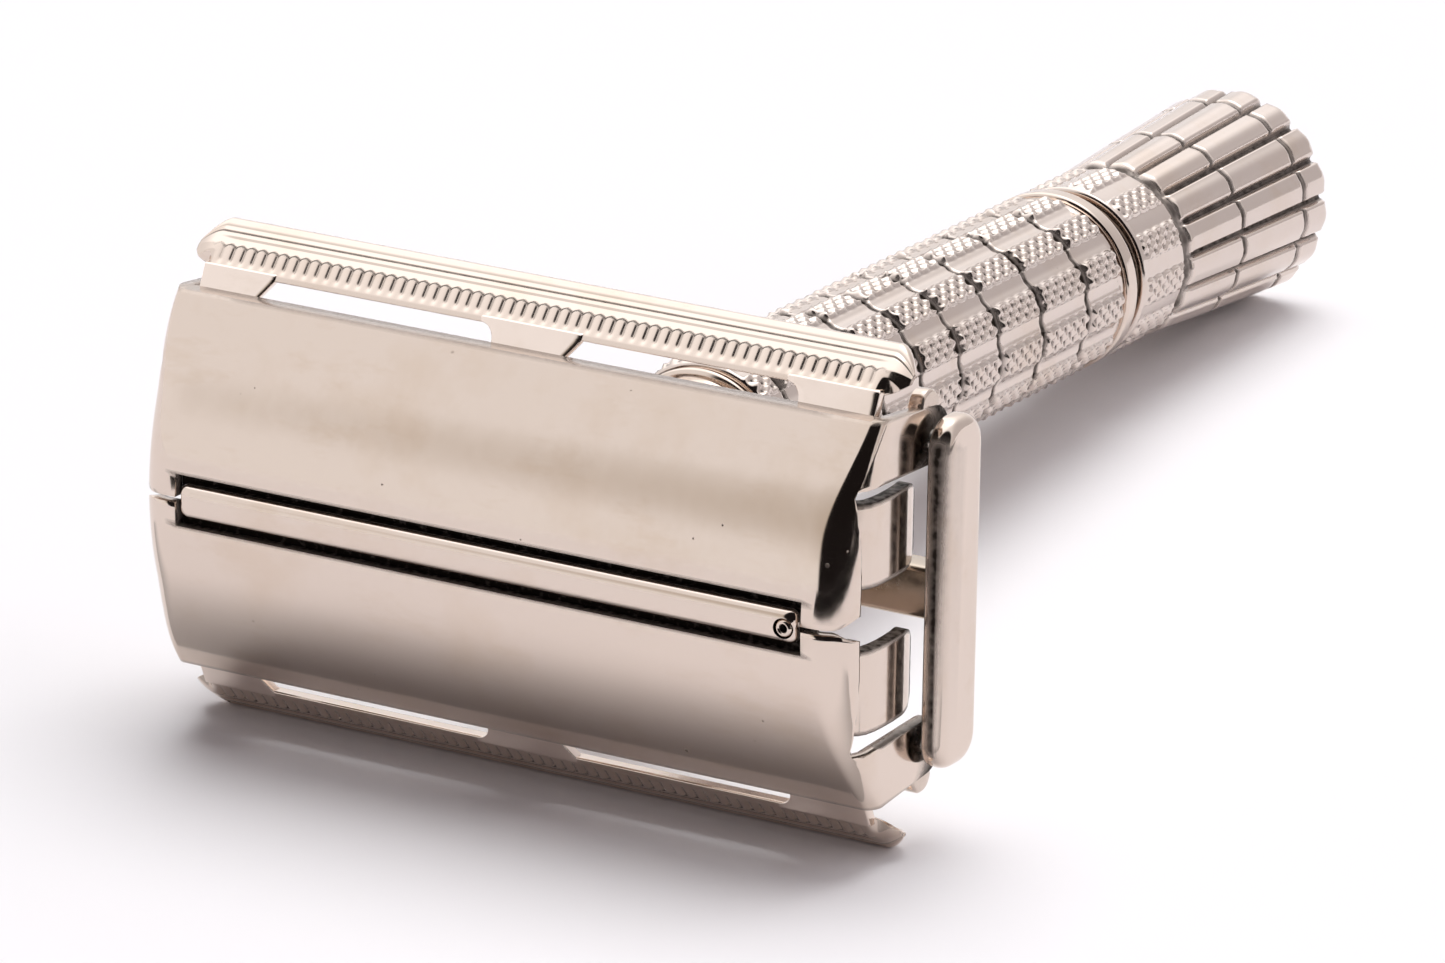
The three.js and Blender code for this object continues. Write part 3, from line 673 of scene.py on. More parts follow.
def rail(name, side):
    """Fluted rail of the guard, with rounded ends that are lowered where the door arms pass."""
    section = resampled(rail_outline(), 0.065)
    ahead = np.roll(section, -1, axis=0) - np.roll(section, 1, axis=0)
    ahead /= np.linalg.norm(ahead, axis=1)[:, None]
    outward = np.stack([-ahead[:, 1], ahead[:, 0]], 1)
    x = np.arange(-RAIL_HALF_LENGTH, RAIL_HALF_LENGTH + 0.04, FLUTE_PITCH / 8)
    x = np.append(x, RAIL_HALF_LENGTH)
    cut, dirt_and_shade = rail_flutes(section, x)
    y = section[:, 0] - outward[:, 0] * cut
    z = section[:, 1] - outward[:, 1] * cut
    curl = np.clip((np.abs(x) - (RAIL_HALF_LENGTH - RAIL_END_ROUND)) / RAIL_END_ROUND, 0, 1)
    shrink = 0.8 * (curl ** 1.6)[:, None]
    y = y + (RAIL_CORE[0] - y) * shrink
    z = z + (RAIL_CORE[1] - z) * shrink
    lowered = smooth(BRIDGE_HALF_LENGTH - 0.35, BRIDGE_HALF_LENGTH + 0.2, np.abs(x))[:, None]
    z = np.where(z > ARM_SWEEP_Z, z + lowered * (ARM_SWEEP_Z - z), z)
    points = np.stack([np.repeat(x[:, None], len(section), 1), side * y - GUARD_DROP, z], 2)
    # Painted shade: a dark line along the crease under the bevel.
    to_crease = np.hypot(section[:, 0] - CREASE[0] + 0.08, section[:, 1] - CREASE[1])
    dirt_and_shade = np.maximum(dirt_and_shade, (1 - smooth(0.03, 0.09, to_crease)) * 0.85)
    make_object(name, *skin(points), plate, "handle", "nickel_plate", dirt_and_shade, node="guard_plate")


def web(x0, x1, slant, round1):
    """Flat web between the platform and a rail, from x0 to x1.
    Its far side is slanted, and its near side has a rounded slot corner."""
    y0, z0 = PLATFORM_HALF_WIDTH - 0.4, float(crown(PLATFORM_HALF_WIDTH, PLATFORM_DEPTH)) + 0.12
    y1, z1 = RAIL_INNER + 0.3, RAIL_INNER_Z - 0.12
    across = np.concatenate([np.linspace(0, 0.5, 4), np.linspace(0.55, 1, 14)])
    radius = 0.9
    outer = np.zeros((len(across), 12, 3))
    for i, t in enumerate(across):
        y = y0 + (y1 - y0) * t
        z = z0 + (z1 - z0) * t
        near = np.clip((y - (RAIL_INNER - radius)) / radius, 0, 1)
        flare = radius * (1 - math.sqrt(max(0.0, 1 - near ** 2)))
        lean = slant * np.clip((RAIL_INNER - y) / 1.4, 0, 1)
        xs = np.linspace(x0 - flare * round1, x1 - lean, outer.shape[1])
        outer[i, :, 0], outer[i, :, 1], outer[i, :, 2] = xs, y, z
    return slab(outer, outer - np.array([0, 0, SHEET - 0.1]))


def platform():
    """Crowned plate under the blade, notched at both ends for the carrier bar."""
    half_x = np.array([6, 12, 18.9, PLATFORM_HALF_LENGTH])
    half_y = np.concatenate([[1.2], np.linspace(NOTCH_HALF_WIDTH, PLATFORM_HALF_WIDTH, 14)])
    x = np.concatenate([-half_x[::-1], [0], half_x])
    y = np.concatenate([-half_y[::-1], [0], half_y])
    grid_x, grid_y = np.meshgrid(x, y, indexing="ij")
    outer = np.stack([grid_x, grid_y, crown(grid_y, PLATFORM_DEPTH)], 2)
    keep = np.ones((len(x) - 1, len(y) - 1), bool)
    inside = np.abs((y[1:] + y[:-1]) / 2) < NOTCH_HALF_WIDTH
    keep[0, inside] = keep[-1, inside] = False
    # Painted shade: the plate is near-black in the middle, under the gap between the doors.
    dirt_and_shade = np.tile(((np.abs(grid_y) < 2.2) * 1.0).ravel(), 2)[slab_used(keep)]
    return *slab(outer, outer - np.array([0, 0, SHEET]), keep), dirt_and_shade


def end_tab():
    """Bent tab at the end of the platform: steps out under the door and hangs down, softly bowed."""
    outer = np.array([[1.15, 19.3], [1.12, 19.75], [1.0, 20.25], [0.72, 20.62], [0.3, 20.85],
                      [-0.4, 20.97], [-1.3, 21.0], [-2.3, 20.98], [-3.2, 20.9], [-4.1, 20.72],
                      [-4.7, 20.5]])
    inner = np.array([[0.35, 19.3], [0.33, 19.55], [0.25, 19.8], [0.1, 20.0], [-0.1, 20.12],
                      [-0.6, 20.22], [-1.3, 20.27], [-2.2, 20.25], [-3.05, 20.18], [-3.9, 20.02],
                      [-4.45, 19.8]])
    fine = np.linspace(0, len(outer) - 1, 41)
    rank = np.arange(len(outer))
    sheets = []
    for side in (outer, inner):
        z = np.interp(fine, rank, side[:, 0])
        x = np.interp(fine, rank, side[:, 1])
        grid = np.zeros((len(fine), 17, 3))
        for i in range(len(fine)):
            low = np.clip((-3.45 - z[i]) / 1.28, 0, 1)
            inset = 1.1 * (1 - math.sqrt(max(0.0, 1 - low ** 2)))
            row = np.linspace(NOTCH_HALF_WIDTH + inset, TAB_OUTER_Y - inset, grid.shape[1])
            grid[i] = np.stack([np.full_like(row, x[i]), row, np.full_like(row, z[i])], 1)
        sheets.append(grid)
    # Painted shade: dark along the tab's side edges and foot, and on its inner face.
    rim = np.zeros(sheets[0].shape[:2])
    rim[:, 0] = rim[:, -1] = 0.9
    rim[-2:] = 0.9
    rim[-3] = 0.5
    dirt_and_shade = np.concatenate([rim.ravel(), np.maximum(rim, 0.8).ravel()])
    return *slab(*sheets), dirt_and_shade


def guard():
    """Platform with its webs to the rails, and the four end tabs."""
    *plate_solid, dirt_and_shade = platform()
    solids = [tuple(plate_solid)]
    for flip_y in (False, True):
        for x0, x1, slant, round1 in ((-BRIDGE_HALF_LENGTH, -SLOT_OUTER_END, 1.15, 0),
                                      (-SLOT_INNER_END, SLOT_INNER_END + 0.5, 1.15, 1),
                                      (SLOT_OUTER_END, BRIDGE_HALF_LENGTH, 0, 1)):
            web_points, web_faces = mirrored(web(x0, x1, slant, round1), flip_y=flip_y)
            solids.append((web_points - [0, GUARD_DROP, 0], web_faces))
    points, faces = joined(solids)
    dirt_and_shade = np.concatenate([dirt_and_shade, np.zeros(len(points) - len(dirt_and_shade))])
    make_object("guard_platform", points, faces, lightened_nickel, "handle", "nickel_plate", dirt_and_shade, 0.1,
                "guard_plate")
    *tab, tab_shade = end_tab()
    tabs = [mirrored(tuple(tab), x, y) for x in (False, True) for y in (False, True)]
    make_object("guard_tabs", *joined(tabs), plate, "handle", "nickel_plate",
                np.tile(tab_shade, 4), 0.2, "guard_plate")


# ---- blade bar and end caps ----

def rounded_loop(half_x, half_y, corner, steps):
    """Closed outline of a rounded rectangle."""
    out = []
    for sx, sy, start in ((1, 1, 0), (-1, 1, 90), (-1, -1, 180), (1, -1, 270)):
        out += arc(sx * (half_x - corner), sy * (half_y - corner), corner, start, start + 90, steps)
    return np.array(out)


def centre_bar():
    """Blade bar: pillowed top, with an eyelet set in its right end."""
    foot = float(crown(0, PLATFORM_DEPTH)) + 0.05
    rows, dirt_and_shade = [], []
    # Painted shade: the bar's foot and lower sides go near-black, down in the gap between the doors.
    for inset, z, dark in ((0, foot, 1), (0, 3.1, 1), (0, 3.16, 0.35), (0.02, 3.28, 0), (0.07, 3.4, 0),
                           (0.16, 3.5, 0), (0.3, 3.58, 0), (0.5, 3.625, 0), (0.7, BAR_TOP, 0)):
        half = BAR_HALF_WIDTH - inset
        loop = rounded_loop(BAR_HALF_LENGTH - inset, half, min(half, 0.42) - 0.001, 8)
        rows.append(np.column_stack([loop, np.full(len(loop), z)]))
        dirt_and_shade.append(np.full(len(loop), dark))
    points, faces = skin(np.array(rows))
    piece = make_object("centre_bar", points, faces, bright, "handle", "nickel_bright",
                        np.array(dirt_and_shade))
    drill(piece, (BAR_RIVET_X + 0.2, -0.1, BAR_TOP), 0.55, 1.4)


def drill(piece, at, radius, depth):
    """Cuts a round hole along Z through a piece, with its top end at the given point or above."""
    rows = turned([[radius, at[2] - depth], [radius, at[2] + depth]], 32)
    points, faces = skin(rows)
    cut_with(piece, make_mesh("cutter", points + np.array([at[0], at[1], 0]), faces))


def cut_with(piece, mesh):
    """Cuts a closed mesh away from a piece."""
    cutter = added("cutter", mesh)
    cut = piece.modifiers.new("cut", "BOOLEAN")
    cut.object = cutter
    cut.solver = "EXACT"
    bpy.context.view_layer.update()
    graph = bpy.context.evaluated_depsgraph_get()
    done = bpy.data.meshes.new_from_object(piece.evaluated_get(graph))
    piece.modifiers.remove(cut)
    piece.data = done
    bpy.data.objects.remove(cutter)
    piece.data.shade_smooth()
    piece.data.set_sharp_from_angle(angle=math.radians(40))


def bar_rivet(side, label):
    """Rivet of the blade bar: the right one shows as a small eyelet in the bar's top."""
    foot = float(crown(0, PLATFORM_DEPTH)) - SHEET - 0.1
    shown = side > 0
    top = BAR_TOP + (0.0 if shown else -0.75)
    shank = 0.5 if shown else 0.45
    profile = [[0.02, foot - 0.5], [0.5, foot - 0.46], [0.76, foot - 0.3], [0.8, foot - 0.05],
               [0.76, foot], [shank, foot], [shank, top - 0.25], [shank - 0.05, top - 0.1],
               [shank - 0.13, top - 0.02], [0.3, top], [0.24, top - 0.04], [0.21, top - 0.12],
               [0.21, top - 0.6], [0.02, top - 0.62]]
    # Painted shade inside the eyelet's hole.
    dirt_and_shade = np.zeros((len(profile), 28))
    dirt_and_shade[-3:] = 1.0
    points, faces = skin(turned(profile, 28))
    points = points + np.array([side * (BAR_RIVET_X + 0.2 * shown), -0.1 * shown, 0])
    name = f"bar_rivet_{label}"
    metal = bright if shown else steel
    make_object(name, points, faces, metal, "handle", "steel", dirt_and_shade)


def end_cap(side, label):
    """Flat pressed cap with a soft outer edge."""
    half_y = CAP_HALF_WIDTH
    half_z = (CAP_TOP - CAP_BOTTOM) / 2
    middle = (CAP_TOP + CAP_BOTTOM) / 2
    rows, dirt_and_shade = [], []
    soft = 0.7
    profile = [(0.12, CAP_INNER), (0.03, CAP_INNER + 0.04), (0, CAP_INNER + 0.14)]
    profile += [(soft - soft * math.cos(a), CAP_OUTER - soft + soft * math.sin(a))
                for a in np.radians(np.linspace(0, 90, 9))]
    profile += [(soft + 0.4, CAP_OUTER), (soft + 0.75, CAP_OUTER)]
    for inset, x in profile:
        corner = max(0.35, 1.6 - inset)
        loop = rounded_loop(half_y - inset, half_z - inset, corner, 9)
        rows.append(np.column_stack([np.full(len(loop), x), loop[:, 0], loop[:, 1] + middle]))
        # Darker along the top of the rounded outer edge, and painted shade on the inner face.
        near_top = smooth(half_z - inset - 0.25, half_z - inset, loop[:, 1])
        spill = 0.16 + 0.4 * smooth(5.5, 9.0, loop[:, 0])
        seam = np.exp(-((x - (CAP_OUTER - soft + 0.08)) / spill) ** 2)
        hidden = 0.9 * (x < CAP_INNER + 0.08)
        dirt_and_shade.append(np.maximum(near_top * seam, hidden))
    points, faces = skin(np.array(rows))
    points = points * np.array([side, side, 1])
    name = f"end_cap_{label}"
    make_object(name, points, faces, bright, "carrier", "nickel_bright", np.array(dirt_and_shade))


def carrier_bar():
    """Bar under the platform that joins the two end caps."""
    rows = []
    half_y = CARRIER_HALF_WIDTH
    half_z = CARRIER_DEPTH / 2
    middle = CARRIER_TOP - half_z
    end = CARRIER_HALF_LENGTH
    for x, inset in ((-end, 0.1), (0.1 - end, 0), (end - 0.1, 0), (end, 0.1)):
        loop = rounded_loop(half_y - inset, half_z - inset, 0.35, 5)
        rows.append(np.column_stack([np.full(len(loop), x), loop[:, 0], loop[:, 1] + middle]))
    points, faces = skin(np.array(rows))
    piece = make_object("carrier_bar", points, faces, worn, "carrier", "nickel_worn")
    drill(piece, (0, 0, middle), 0.9, 2.0)


def hinge_pin(side, y, name):
    """Pin from an end cap into a door's arm, along X."""
    near = DOOR_HALF_LENGTH - DOOR_SHEET - 0.4
    far = CAP_INNER + 0.45
    profile = [[0.5, near], [0.6, near + 0.06], [0.62, near + 0.12], [0.62, far - 0.05], [0.57, far]]
    points, faces = skin(turned(profile, 24))
    points = points[:, [2, 0, 1]] * np.array([side, 1, 1]) + np.array([0, y, PIVOT_Z])
    make_object(name, points, faces, steel, "carrier", "steel")


# ---- handle ----

LAND_PITCH = 30.0
LAND_PHASE = -5.0
LAND_HALF_ANGLE = 8.6
KNURL_HALF_ANGLE = 4.6
KNURL_HALF_RISE = 0.50
KNURL_RISE = 0.27
LAND_RADIUS = 4.95
LAND_RISE = 0.02
CHANNEL_HALF_ANGLE = 6.4
CHANNEL_HOLLOW = 0.05
RING_GROOVE_DEPTH = 0.16


def knurl(angle, z):
    """Height from 0 to 1 of the diamond pattern of small domes."""
    swing = np.cos(np.pi * angle / KNURL_HALF_ANGLE) * np.cos(np.pi * z / KNURL_HALF_RISE)
    return (0.5 + 0.5 * swing) ** 0.8


def land_mask(degrees):
    """1 on the raised lands, 0 in the channels between them, and the angle from a land's middle."""
    offset = np.mod(degrees - LAND_PHASE + LAND_PITCH / 2, LAND_PITCH) - LAND_PITCH / 2
    return 1 - smooth(LAND_HALF_ANGLE - 0.8, LAND_HALF_ANGLE + 0.8, np.abs(offset)), offset


def plain_band(rows, segments, shade=0.0):
    """Heights, radii and darkening of plain turned rows of [radius, z]."""
    rows = np.array(rows, float)
    return rows[:, 1], np.repeat(rows[:, :1], segments, 1), np.full((len(rows), segments), shade)


def stacked(bands, segments):
    """Grid of points and darkening of a turned shape whose bands follow each other along Z."""
    heights, radius, dirt_and_shade = (np.concatenate(parts) for parts in zip(*bands))
    return turned_grid(radius, heights, segments), dirt_and_shade


def barrel_panels(degrees):
    """Heights, radii and darkening of the barrel's knurled lands, channels and ring grooves: darker
    between the knurl's domes, in the ring grooves and along the lands' edges.
    """
    heights = np.arange(BARREL_FOOT + 0.35, BARREL_TOP - 0.3, 0.11)
    land, offset = land_mask(degrees)
    grooves = BARREL_FOOT + np.cumsum(BARREL_PANELS)
    from_groove = np.abs(heights[:, None] - grooves).min(1)
    bumps = knurl(offset, heights[:, None])
    inside = land * smooth(0.3, 0.42, from_groove)[:, None]
    across = np.clip((np.abs(offset) - LAND_HALF_ANGLE) / CHANNEL_HALF_ANGLE, 0, 1)
    hollow = CHANNEL_HOLLOW * (1 - np.cos(np.pi * across))
    radius = LAND_RADIUS - hollow + LAND_RISE * land + KNURL_RISE * bumps * inside
    width = 0.15 + 0.11 * land
    ring_cut = np.clip(1 - (from_groove[:, None] / (width * 1.5)) ** 2, 0, 1)
    radius = radius - RING_GROOVE_DEPTH * (1 + land) * ring_cut
    dirt_and_shade = inside * (1 - smooth(0.05, 0.4, bumps))
    dirt_and_shade = np.maximum(dirt_and_shade, smooth(0.1, 0.6, ring_cut) * (0.85 + 0.15 * land))
    edge_line = np.exp(-((np.abs(offset) - LAND_HALF_ANGLE) / 0.7) ** 2) * 0.3
    return heights, radius, np.maximum(dirt_and_shade, edge_line)


def handle_barrel():
    """Hollow barrel with knurled panels between its channels and ring grooves."""
    segments = 360
    foot = [[BARREL_BORE, BARREL_FOOT], [4.75, BARREL_FOOT], [4.92, BARREL_FOOT + 0.05],
            [4.99, BARREL_FOOT + 0.18]]
    top = [[4.99, BARREL_TOP - 0.2], [4.9, BARREL_TOP - 0.07], [4.75, BARREL_TOP], [4.5, BARREL_TOP],
           [4.42, BARREL_TOP - 0.12], [BARREL_BORE, BARREL_TOP - 0.12]]
    panels = barrel_panels(np.linspace(0, 360, segments, endpoint=False))
    bands = (plain_band(foot, segments), panels, plain_band(top, segments))
    grid, dirt_and_shade = stacked(bands, segments)
    make_object("handle_barrel", *skin(grid, rows_closed=True), knurled, "handle",
                "nickel_plate", dirt_and_shade)


def neck_collar():
    """Smooth neck between the barrel's shoulder and the guard, slotted for the carrier bar."""
    top = float(crown(5.0, PLATFORM_DEPTH)) - SHEET - 0.1
    shoulder = BARREL_TOP + 0.1
    profile = [[NECK_BORE, NECK_FOOT], [3.9, NECK_FOOT], [3.9, shoulder],
               *arc(4.55, shoulder + 0.2, 0.2, -90, 60, 6), [4.3, shoulder + 0.5],
               [4.14, shoulder + 0.9], [NECK_RADIUS, shoulder + 1.5], [NECK_RADIUS, top - 2.2],
               [4.14, top - 1.8], [4.35, top - 1.25], [4.75, top - 0.85],
               *arc(4.8, top - 0.35, 0.2, -60, 60, 6), [4.7, top - 0.02], [NECK_BORE, top]]
    points, faces = skin(turned(profile, 96), rows_closed=True)
    piece = make_object("neck_collar", points, faces, plate, "handle", "nickel_worn")
    half = CARRIER_HALF_WIDTH + 0.15
    plan = ((-9, -half), (9, -half), (9, half), (-9, half))
    corners = [[x, y, z] for z in (-6.9, 3) for x, y in plan]
    sides = [[3, 2, 1, 0], [4, 5, 6, 7], [0, 1, 5, 4], [1, 2, 6, 5], [2, 3, 7, 6], [3, 0, 4, 7]]
    cut_with(piece, make_mesh("slot", corners, sides))


def end_ring():
    """Smooth ring under the barrel, with a sleeve up into the barrel's bore."""
    top = BARREL_FOOT - 0.1
    profile = [[RING_BORE, RING_FOOT], *arc(4.9, RING_FOOT + 0.3, 0.3, -90, 0, 5),
               [5.2, top - 0.22], *arc(5.0, top - 0.2, 0.2, 0, 90, 5), [RING_SLEEVE_RADIUS, top],
               [RING_SLEEVE_RADIUS, RING_SLEEVE_TOP], [RING_BORE, RING_SLEEVE_TOP]]
    points, faces = skin(turned(profile, 128), rows_closed=True)
    piece = make_object("barrel_end_ring", points, faces, bright, "handle", "nickel_bright")
    piece.data.set_sharp_from_angle(angle=math.radians(50))


# ---- knob ----

KNOB_VALLEY_PHASE = 5.9
KNOB_VALLEY_DEPTH = 0.62
KNOB_RIB_CROWN = 0.13
KNOB_FOOT_ROUND = 0.6
KNOB_MARKS = (-69.5, -76.3)
KNOB_MARK_DEPTH = 0.2
KNOB_KNURL_RISE = 0.25


def knob_crest(z):
    """Radius of the ribs' crests, which flares towards the knob's foot."""
    t = np.clip((KNOB_GROOVE - z) / (KNOB_GROOVE - KNOB_FOOT), 0, 1)
    return KNOB_BAND_RADIUS + (KNOB_FLARE_RADIUS - KNOB_BAND_RADIUS) * t ** 0.9


def knob_flare(degrees):
    """Heights, radii and darkening of the ribbed flare, with two fine lines turned round it: darker in
    the valleys between the ribs, in the two lines and at its top next to the groove.
    """
    heights = np.arange(KNOB_FOOT + 0.03, KNOB_GROOVE - 0.1, 0.12)
    half_pitch = 180 / KNOB_RIBS
    turn = np.mod(degrees - KNOB_VALLEY_PHASE + half_pitch, 2 * half_pitch) - half_pitch
    offset = np.abs(turn) / half_pitch
    valley = 1 - smooth(0.07, 0.28, offset)
    fade = smooth(0.0, 0.9, KNOB_GROOVE - 0.15 - heights)[:, None]
    deep = KNOB_VALLEY_DEPTH * valley * (0.35 + 0.65 * fade)
    crowned = KNOB_RIB_CROWN * (1 - smooth(0.25, 0.95, offset))
    radius = knob_crest(heights)[:, None] - deep - crowned * (1 - valley)
    foot_t = np.clip((KNOB_FOOT + KNOB_FOOT_ROUND - heights) / KNOB_FOOT_ROUND, 0, 1)[:, None]
    radius = radius - 0.5 * (1 - np.sqrt(1 - foot_t ** 2)) * (1 - 0.6 * valley)
    neck_t = np.clip((heights - (KNOB_GROOVE - 0.55)) / 0.45, 0, 1)[:, None]
    radius = radius - 0.3 * neck_t ** 2
    from_mark = np.abs(heights[:, None] - np.array(KNOB_MARKS)).min(1)[:, None]
    cut = np.clip(1 - (from_mark / 0.24) ** 2, 0, 1) * (1 - valley)
    radius = radius - KNOB_MARK_DEPTH * cut
    dirt_and_shade = smooth(0.4, 0.95, valley) * (0.6 + 0.25 * fade)
    dirt_and_shade = np.maximum(dirt_and_shade, smooth(0.2, 0.8, cut) * 0.85)
    return heights, radius, np.maximum(dirt_and_shade, smooth(0.4, 1, neck_t) * 0.7)


def knob_band(degrees):
    """Heights, radii and darkening of the knurled band above the knob's groove: darker between the
    knurl's domes.
    """
    low, high = KNOB_GROOVE + 0.42, KNOB_TOP - 0.25
    heights = np.arange(low, high, 0.13)
    land, offset = land_mask(degrees)
    edge = smooth(0, 0.3, np.minimum(heights - low, high - heights))[:, None]
    bumps = knurl(offset, heights[:, None])
    inside = land * edge
    radius = LAND_RADIUS + LAND_RISE * land + KNOB_KNURL_RISE * bumps * inside
    return heights, radius, inside * (1 - smooth(0.05, 0.35, bumps)) * 0.8


def twist_knob():
    """Hollow knob: ribbed flare, groove and knurled band."""
    segments = 384
    degrees = np.linspace(0, 360, segments, endpoint=False)
    foot = [[KNOB_BORE, KNOB_FOOT + 1.6], [KNOB_BORE, KNOB_FOOT + 0.1], [4.1, KNOB_FOOT],
            [4.9, KNOB_FOOT]]
    groove = [[4.84, KNOB_GROOVE - 0.06], [4.8, KNOB_GROOVE], [4.8, KNOB_GROOVE + 0.25],
              [4.93, KNOB_GROOVE + 0.36]]
    top = [[4.98, KNOB_TOP - 0.16], [4.9, KNOB_TOP - 0.05], [4.75, KNOB_TOP],
           [2.9, KNOB_TOP], [2.9, KNOB_TOP - 1.2], [KNOB_BORE, KNOB_TOP - 1.2]]
    bands = (plain_band(foot, segments), knob_flare(degrees), plain_band(groove, segments, 0.75),
             knob_band(degrees), plain_band(top, segments))
    grid, dirt_and_shade = stacked(bands, segments)
    make_object("twist_knob", *skin(grid, rows_closed=True), knurled, "knob", "nickel_plate", dirt_and_shade)


def knob_end_plug():
    """Flat plug that closes the knob's foot."""
    rim = KNOB_BORE - 0.06
    foot = KNOB_FOOT - 0.1
    profile = [[0.02, foot + 0.12], [2.2, foot + 0.1], [3.0, foot + 0.03], [3.4, foot],
               *arc(rim - 0.3, foot + 0.3, 0.3, -90, 0, 5), [rim, PLUG_TOP - 0.05],
               [rim - 0.05, PLUG_TOP], [0.02, PLUG_TOP]]
    make_object("knob_end_plug", *skin(turned(profile, 96)), plate, "knob", "nickel_plate")


door("door_upper", 1)
door("door_lower", -1)
rail("guard_rail_upper", 1)
rail("guard_rail_lower", -1)
guard()
centre_bar()
for side, label in ((-1, "left"), (1, "right")):
    bar_rivet(side, label)
    end_cap(side, label)
    hinge_pin(side, PIVOT_Y, f"hinge_pin_upper_{label}")
    hinge_pin(side, -PIVOT_Y, f"hinge_pin_lower_{label}")
carrier_bar()
neck_collar()
handle_barrel()
end_ring()
twist_knob()
knob_end_plug()

# CAD nodes that stay: the hidden turned parts.
for node, material in (("rod_guide_bush", brass), ("drive_nut", brass), ("push_rod", steel),
                       ("spring_washer", steel)):
    kept = frame["nodes"][node]
    kept.data.materials.clear()
    kept.data.materials.append(material)


# ---- floor, light and surroundings ----

PAPER = (0.93, 0.915, 0.93, 1)
FLOOR_HALF_SIZE = 3.0
DOME_RADIUS = 2.7
DARK_CARD_LIFT = 0.0002
SHADE_LIFT = 0.0003
# Corners in mm, in the scene's frame, of the two dark cards that only reflections show.
DARK_CARD_CORNERS = [(-24, -136), (44, -132), (87, -107), (111, -65), (114, 50), (2600, 50),
             (2600, -2600), (-900, -2600)]
DEEP_SHADE = [(-50, -58), (45, -58), (45, -40), (-50, -40)]
# Each patch of the surroundings: direction, cosines where it starts and is full, colour.
SURROUND = (1.04, 1.02, 1.025)
PATCHES = (
    ((0.75, 0.65, 0.15), 0.55, 0.95, (0.66, 0.63, 0.64)),
    ((-0.317, -0.871, 0.375), 0.961, 0.996, (0.66, 0.60, 0.53)),
    ((-0.38, 0.35, 0.85), 0.66, 0.92, (1.7, 1.7, 1.72)),
    ((-0.10, 0.45, 0.88), 0.94, 0.985, (3.0, 3.0, 3.0)),
)
DARK_AZIMUTH = 32.0
DARK_ELEVATION = 24.0
DARK_HALF_ANGLES = (49.0, 54.0)
DARK_COLOUR = (0.012, 0.01, 0.01)
# Each soft light: name, direction it comes from, spread in degrees, strength, colour.
SOFT_LIGHTS = (
    ("key", (-0.06, 0.29, 0.95), 48, 2.28, (0.99, 1.0, 1.0)),
    ("side", (0.80, 0.42, 0.62), 70, 1.0, (1.0, 0.97, 0.985)),
    ("fill", (0.35, -0.20, 1.0), 150, 0.74, (1.0, 0.91, 0.965)),
)


def make_floor():
    """White paper under the razor."""
    mesh = bpy.data.meshes.new("floor")
    half = FLOOR_HALF_SIZE
    corners = [(-half, -half, 0), (half, -half, 0), (half, half, 0), (-half, half, 0)]
    mesh.from_pydata(corners, [], [[0, 1, 2, 3]])
    n = Nodes("paper")
    n.shader.inputs["Base Color"].default_value = PAPER
    n.shader.inputs["Roughness"].default_value = 0.85
    n.shader.inputs["Specular IOR Level"].default_value = 0.2
    mesh.materials.append(n.material)
    added("floor", mesh)


def soft_sun(name, come_from, spread_angle, strength, colour):
    """Broad soft light from far off, kept out of the reflections."""
    data = bpy.data.lights.new(name, "SUN")
    data.energy = strength
    data.angle = math.radians(spread_angle)
    data.color = colour
    light = added(name, data)
    light.rotation_euler = (-Vector(come_from)).to_track_quat("-Z", "Y").to_euler()
    light.visible_glossy = False


def glowing(name, colour, strength):
    """Plain emitting material."""
    material = bpy.data.materials.new(name)
    material.use_nodes = True
    tree = material.node_tree
    tree.nodes.remove(tree.nodes["Principled BSDF"])
    glow = tree.nodes.new("ShaderNodeEmission")
    glow.inputs["Color"].default_value = (*colour, 1)
    glow.inputs["Strength"].default_value = strength
    tree.links.new(glow.outputs[0], tree.nodes["Material Output"].inputs["Surface"])
    return material


def backdrop(name, points, faces, material, seen_by_camera):
    """Part of the studio that only the camera sees, or that only reflections show."""
    mesh = bpy.data.meshes.new(name)
    mesh.from_pydata(points, [], faces)
    mesh.materials.append(material)
    card = added(name, mesh)
    card.visible_camera = seen_by_camera
    card.visible_glossy = not seen_by_camera
    card.visible_diffuse = False
    card.visible_shadow = False


def dome():
    """White surround behind the floor, seen by the camera alone."""
    rings = arc(0, 0, DOME_RADIUS, -10, 88, 19)
    points, faces = skin(turned(rings, 48))
    backdrop("surround", points.tolist(), faces, glowing("surround", (1, 0.99, 0.995), 1.0), True)


def dark_reflection_card():
    """Dark card on the paper on the camera's side, seen only in reflections: a painted dark reflection
    in the polished metal.
    """
    points = [(x * MM, y * MM, DARK_CARD_LIFT) for x, y in DARK_CARD_CORNERS]
    card = glowing("painted_dark_reflection", (0.01, 0.009, 0.009), 1.0)
    backdrop("painted_dark_reflection", points, [list(range(len(points)))], card, False)


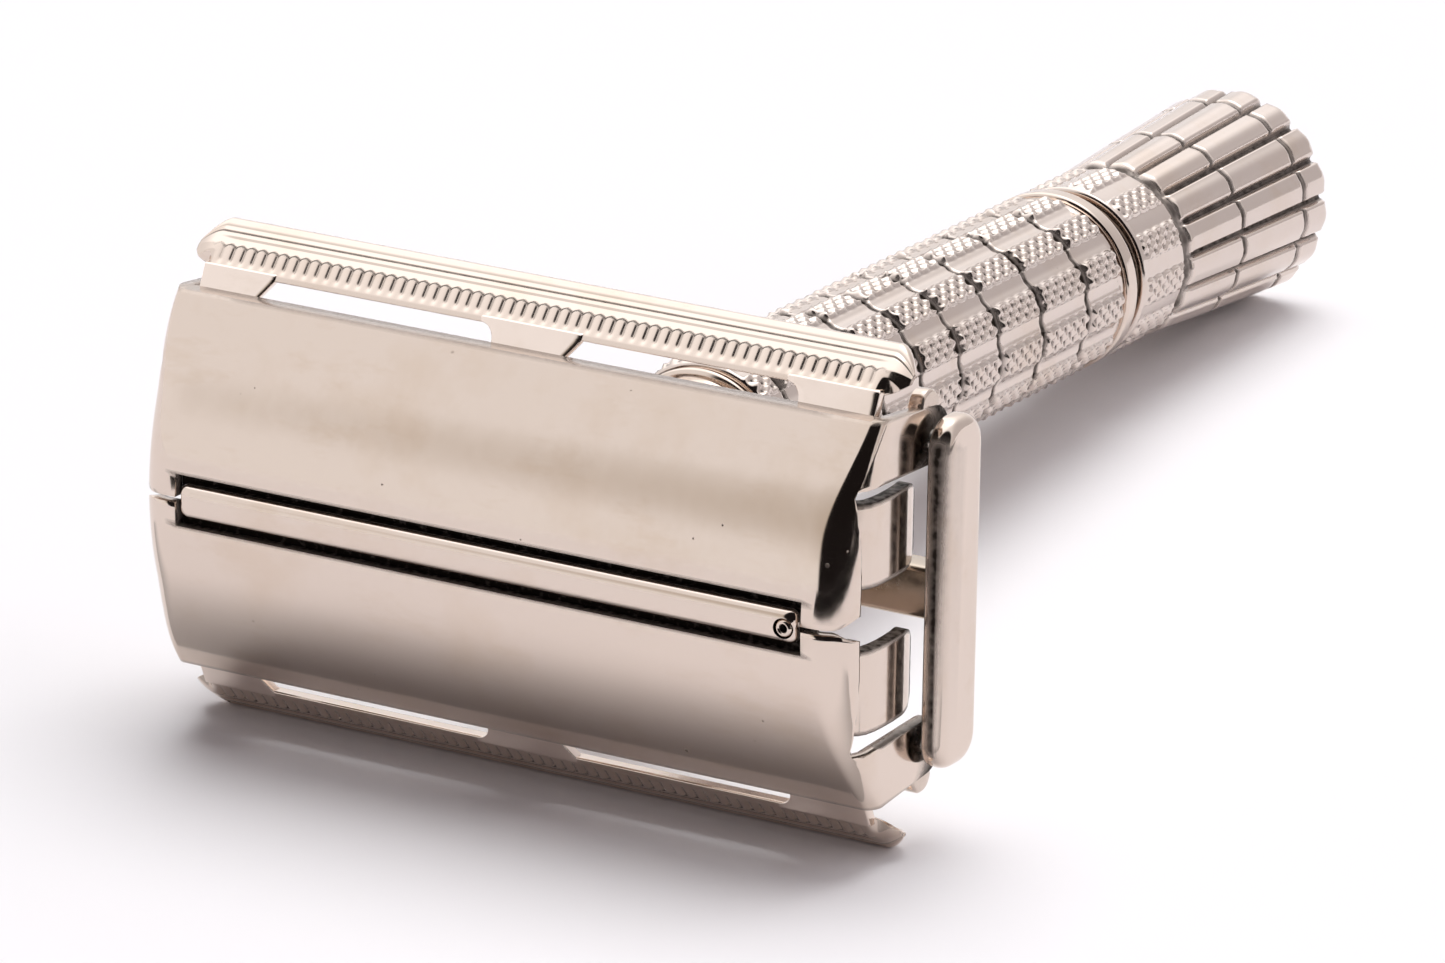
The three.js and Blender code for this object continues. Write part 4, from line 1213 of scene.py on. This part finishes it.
def deep_shade():
    """Soft dark strip on the paper close in front of the head, as the lower door shows it."""
    material = glowing("deep_shade", (0, 0, 0), 0.0)
    tree = material.node_tree
    place = tree.nodes.new("ShaderNodeTexCoord")
    split = tree.nodes.new("ShaderNodeSeparateXYZ")
    tree.links.new(place.outputs["Generated"], split.inputs[0])
    share = map_range(tree, split.outputs["Y"], 0.35, 1.0, 0.0, 0.42, soft=True)
    clear = tree.nodes.new("ShaderNodeBsdfTransparent")
    mix = tree.nodes.new("ShaderNodeMixShader")
    tree.links.new(share, mix.inputs[0])
    tree.links.new(clear.outputs[0], mix.inputs[1])
    tree.links.new(tree.nodes["Emission"].outputs[0], mix.inputs[2])
    tree.links.new(mix.outputs[0], tree.nodes["Material Output"].inputs["Surface"])
    points = [(x * MM, y * MM, SHADE_LIFT) for x, y in DEEP_SHADE]
    backdrop("deep_shade", points, [[0, 1, 2, 3]], material, False)


def make_world():
    """What the metal reflects: pale all round, brighter overhead, dark on the camera's side."""
    world = bpy.data.worlds.new("tent")
    bpy.context.scene.world = world
    world.use_nodes = True
    world.cycles_visibility.diffuse = False
    world.cycles_visibility.camera = False
    tree = world.node_tree
    back = tree.nodes["Background"]
    place = tree.nodes.new("ShaderNodeTexCoord")

    def lobe(direction, start, end):
        """0 away from a direction, 1 close to it, and a smooth step between two cosines."""
        facing = tree.nodes.new("ShaderNodeVectorMath")
        facing.operation = "DOT_PRODUCT"
        facing.inputs[1].default_value = Vector(direction).normalized()
        tree.links.new(place.outputs["Generated"], facing.inputs[0])
        return map_range(tree, facing.outputs["Value"], start, end, soft=True)

    sky = SURROUND
    for direction, start, end, colour in PATCHES:
        sky = mix_colours(tree, lobe(direction, start, end), sky, colour)
    angle = math.radians(DARK_AZIMUTH)
    rise = math.radians(DARK_ELEVATION)
    towards = (math.sin(angle) * math.cos(rise), -math.cos(angle) * math.cos(rise), math.sin(rise))
    inner, outer = [math.cos(math.radians(a)) for a in DARK_HALF_ANGLES]
    sky = mix_colours(tree, lobe(towards, outer, inner), sky, DARK_COLOUR)
    tree.links.new(sky, back.inputs["Color"])
    back.inputs["Strength"].default_value = 1.0


make_floor()
make_world()
dome()
dark_reflection_card()
deep_shade()
for light in SOFT_LIGHTS:
    soft_sun(*light)
bpy.context.scene.view_settings.view_transform = "Standard"
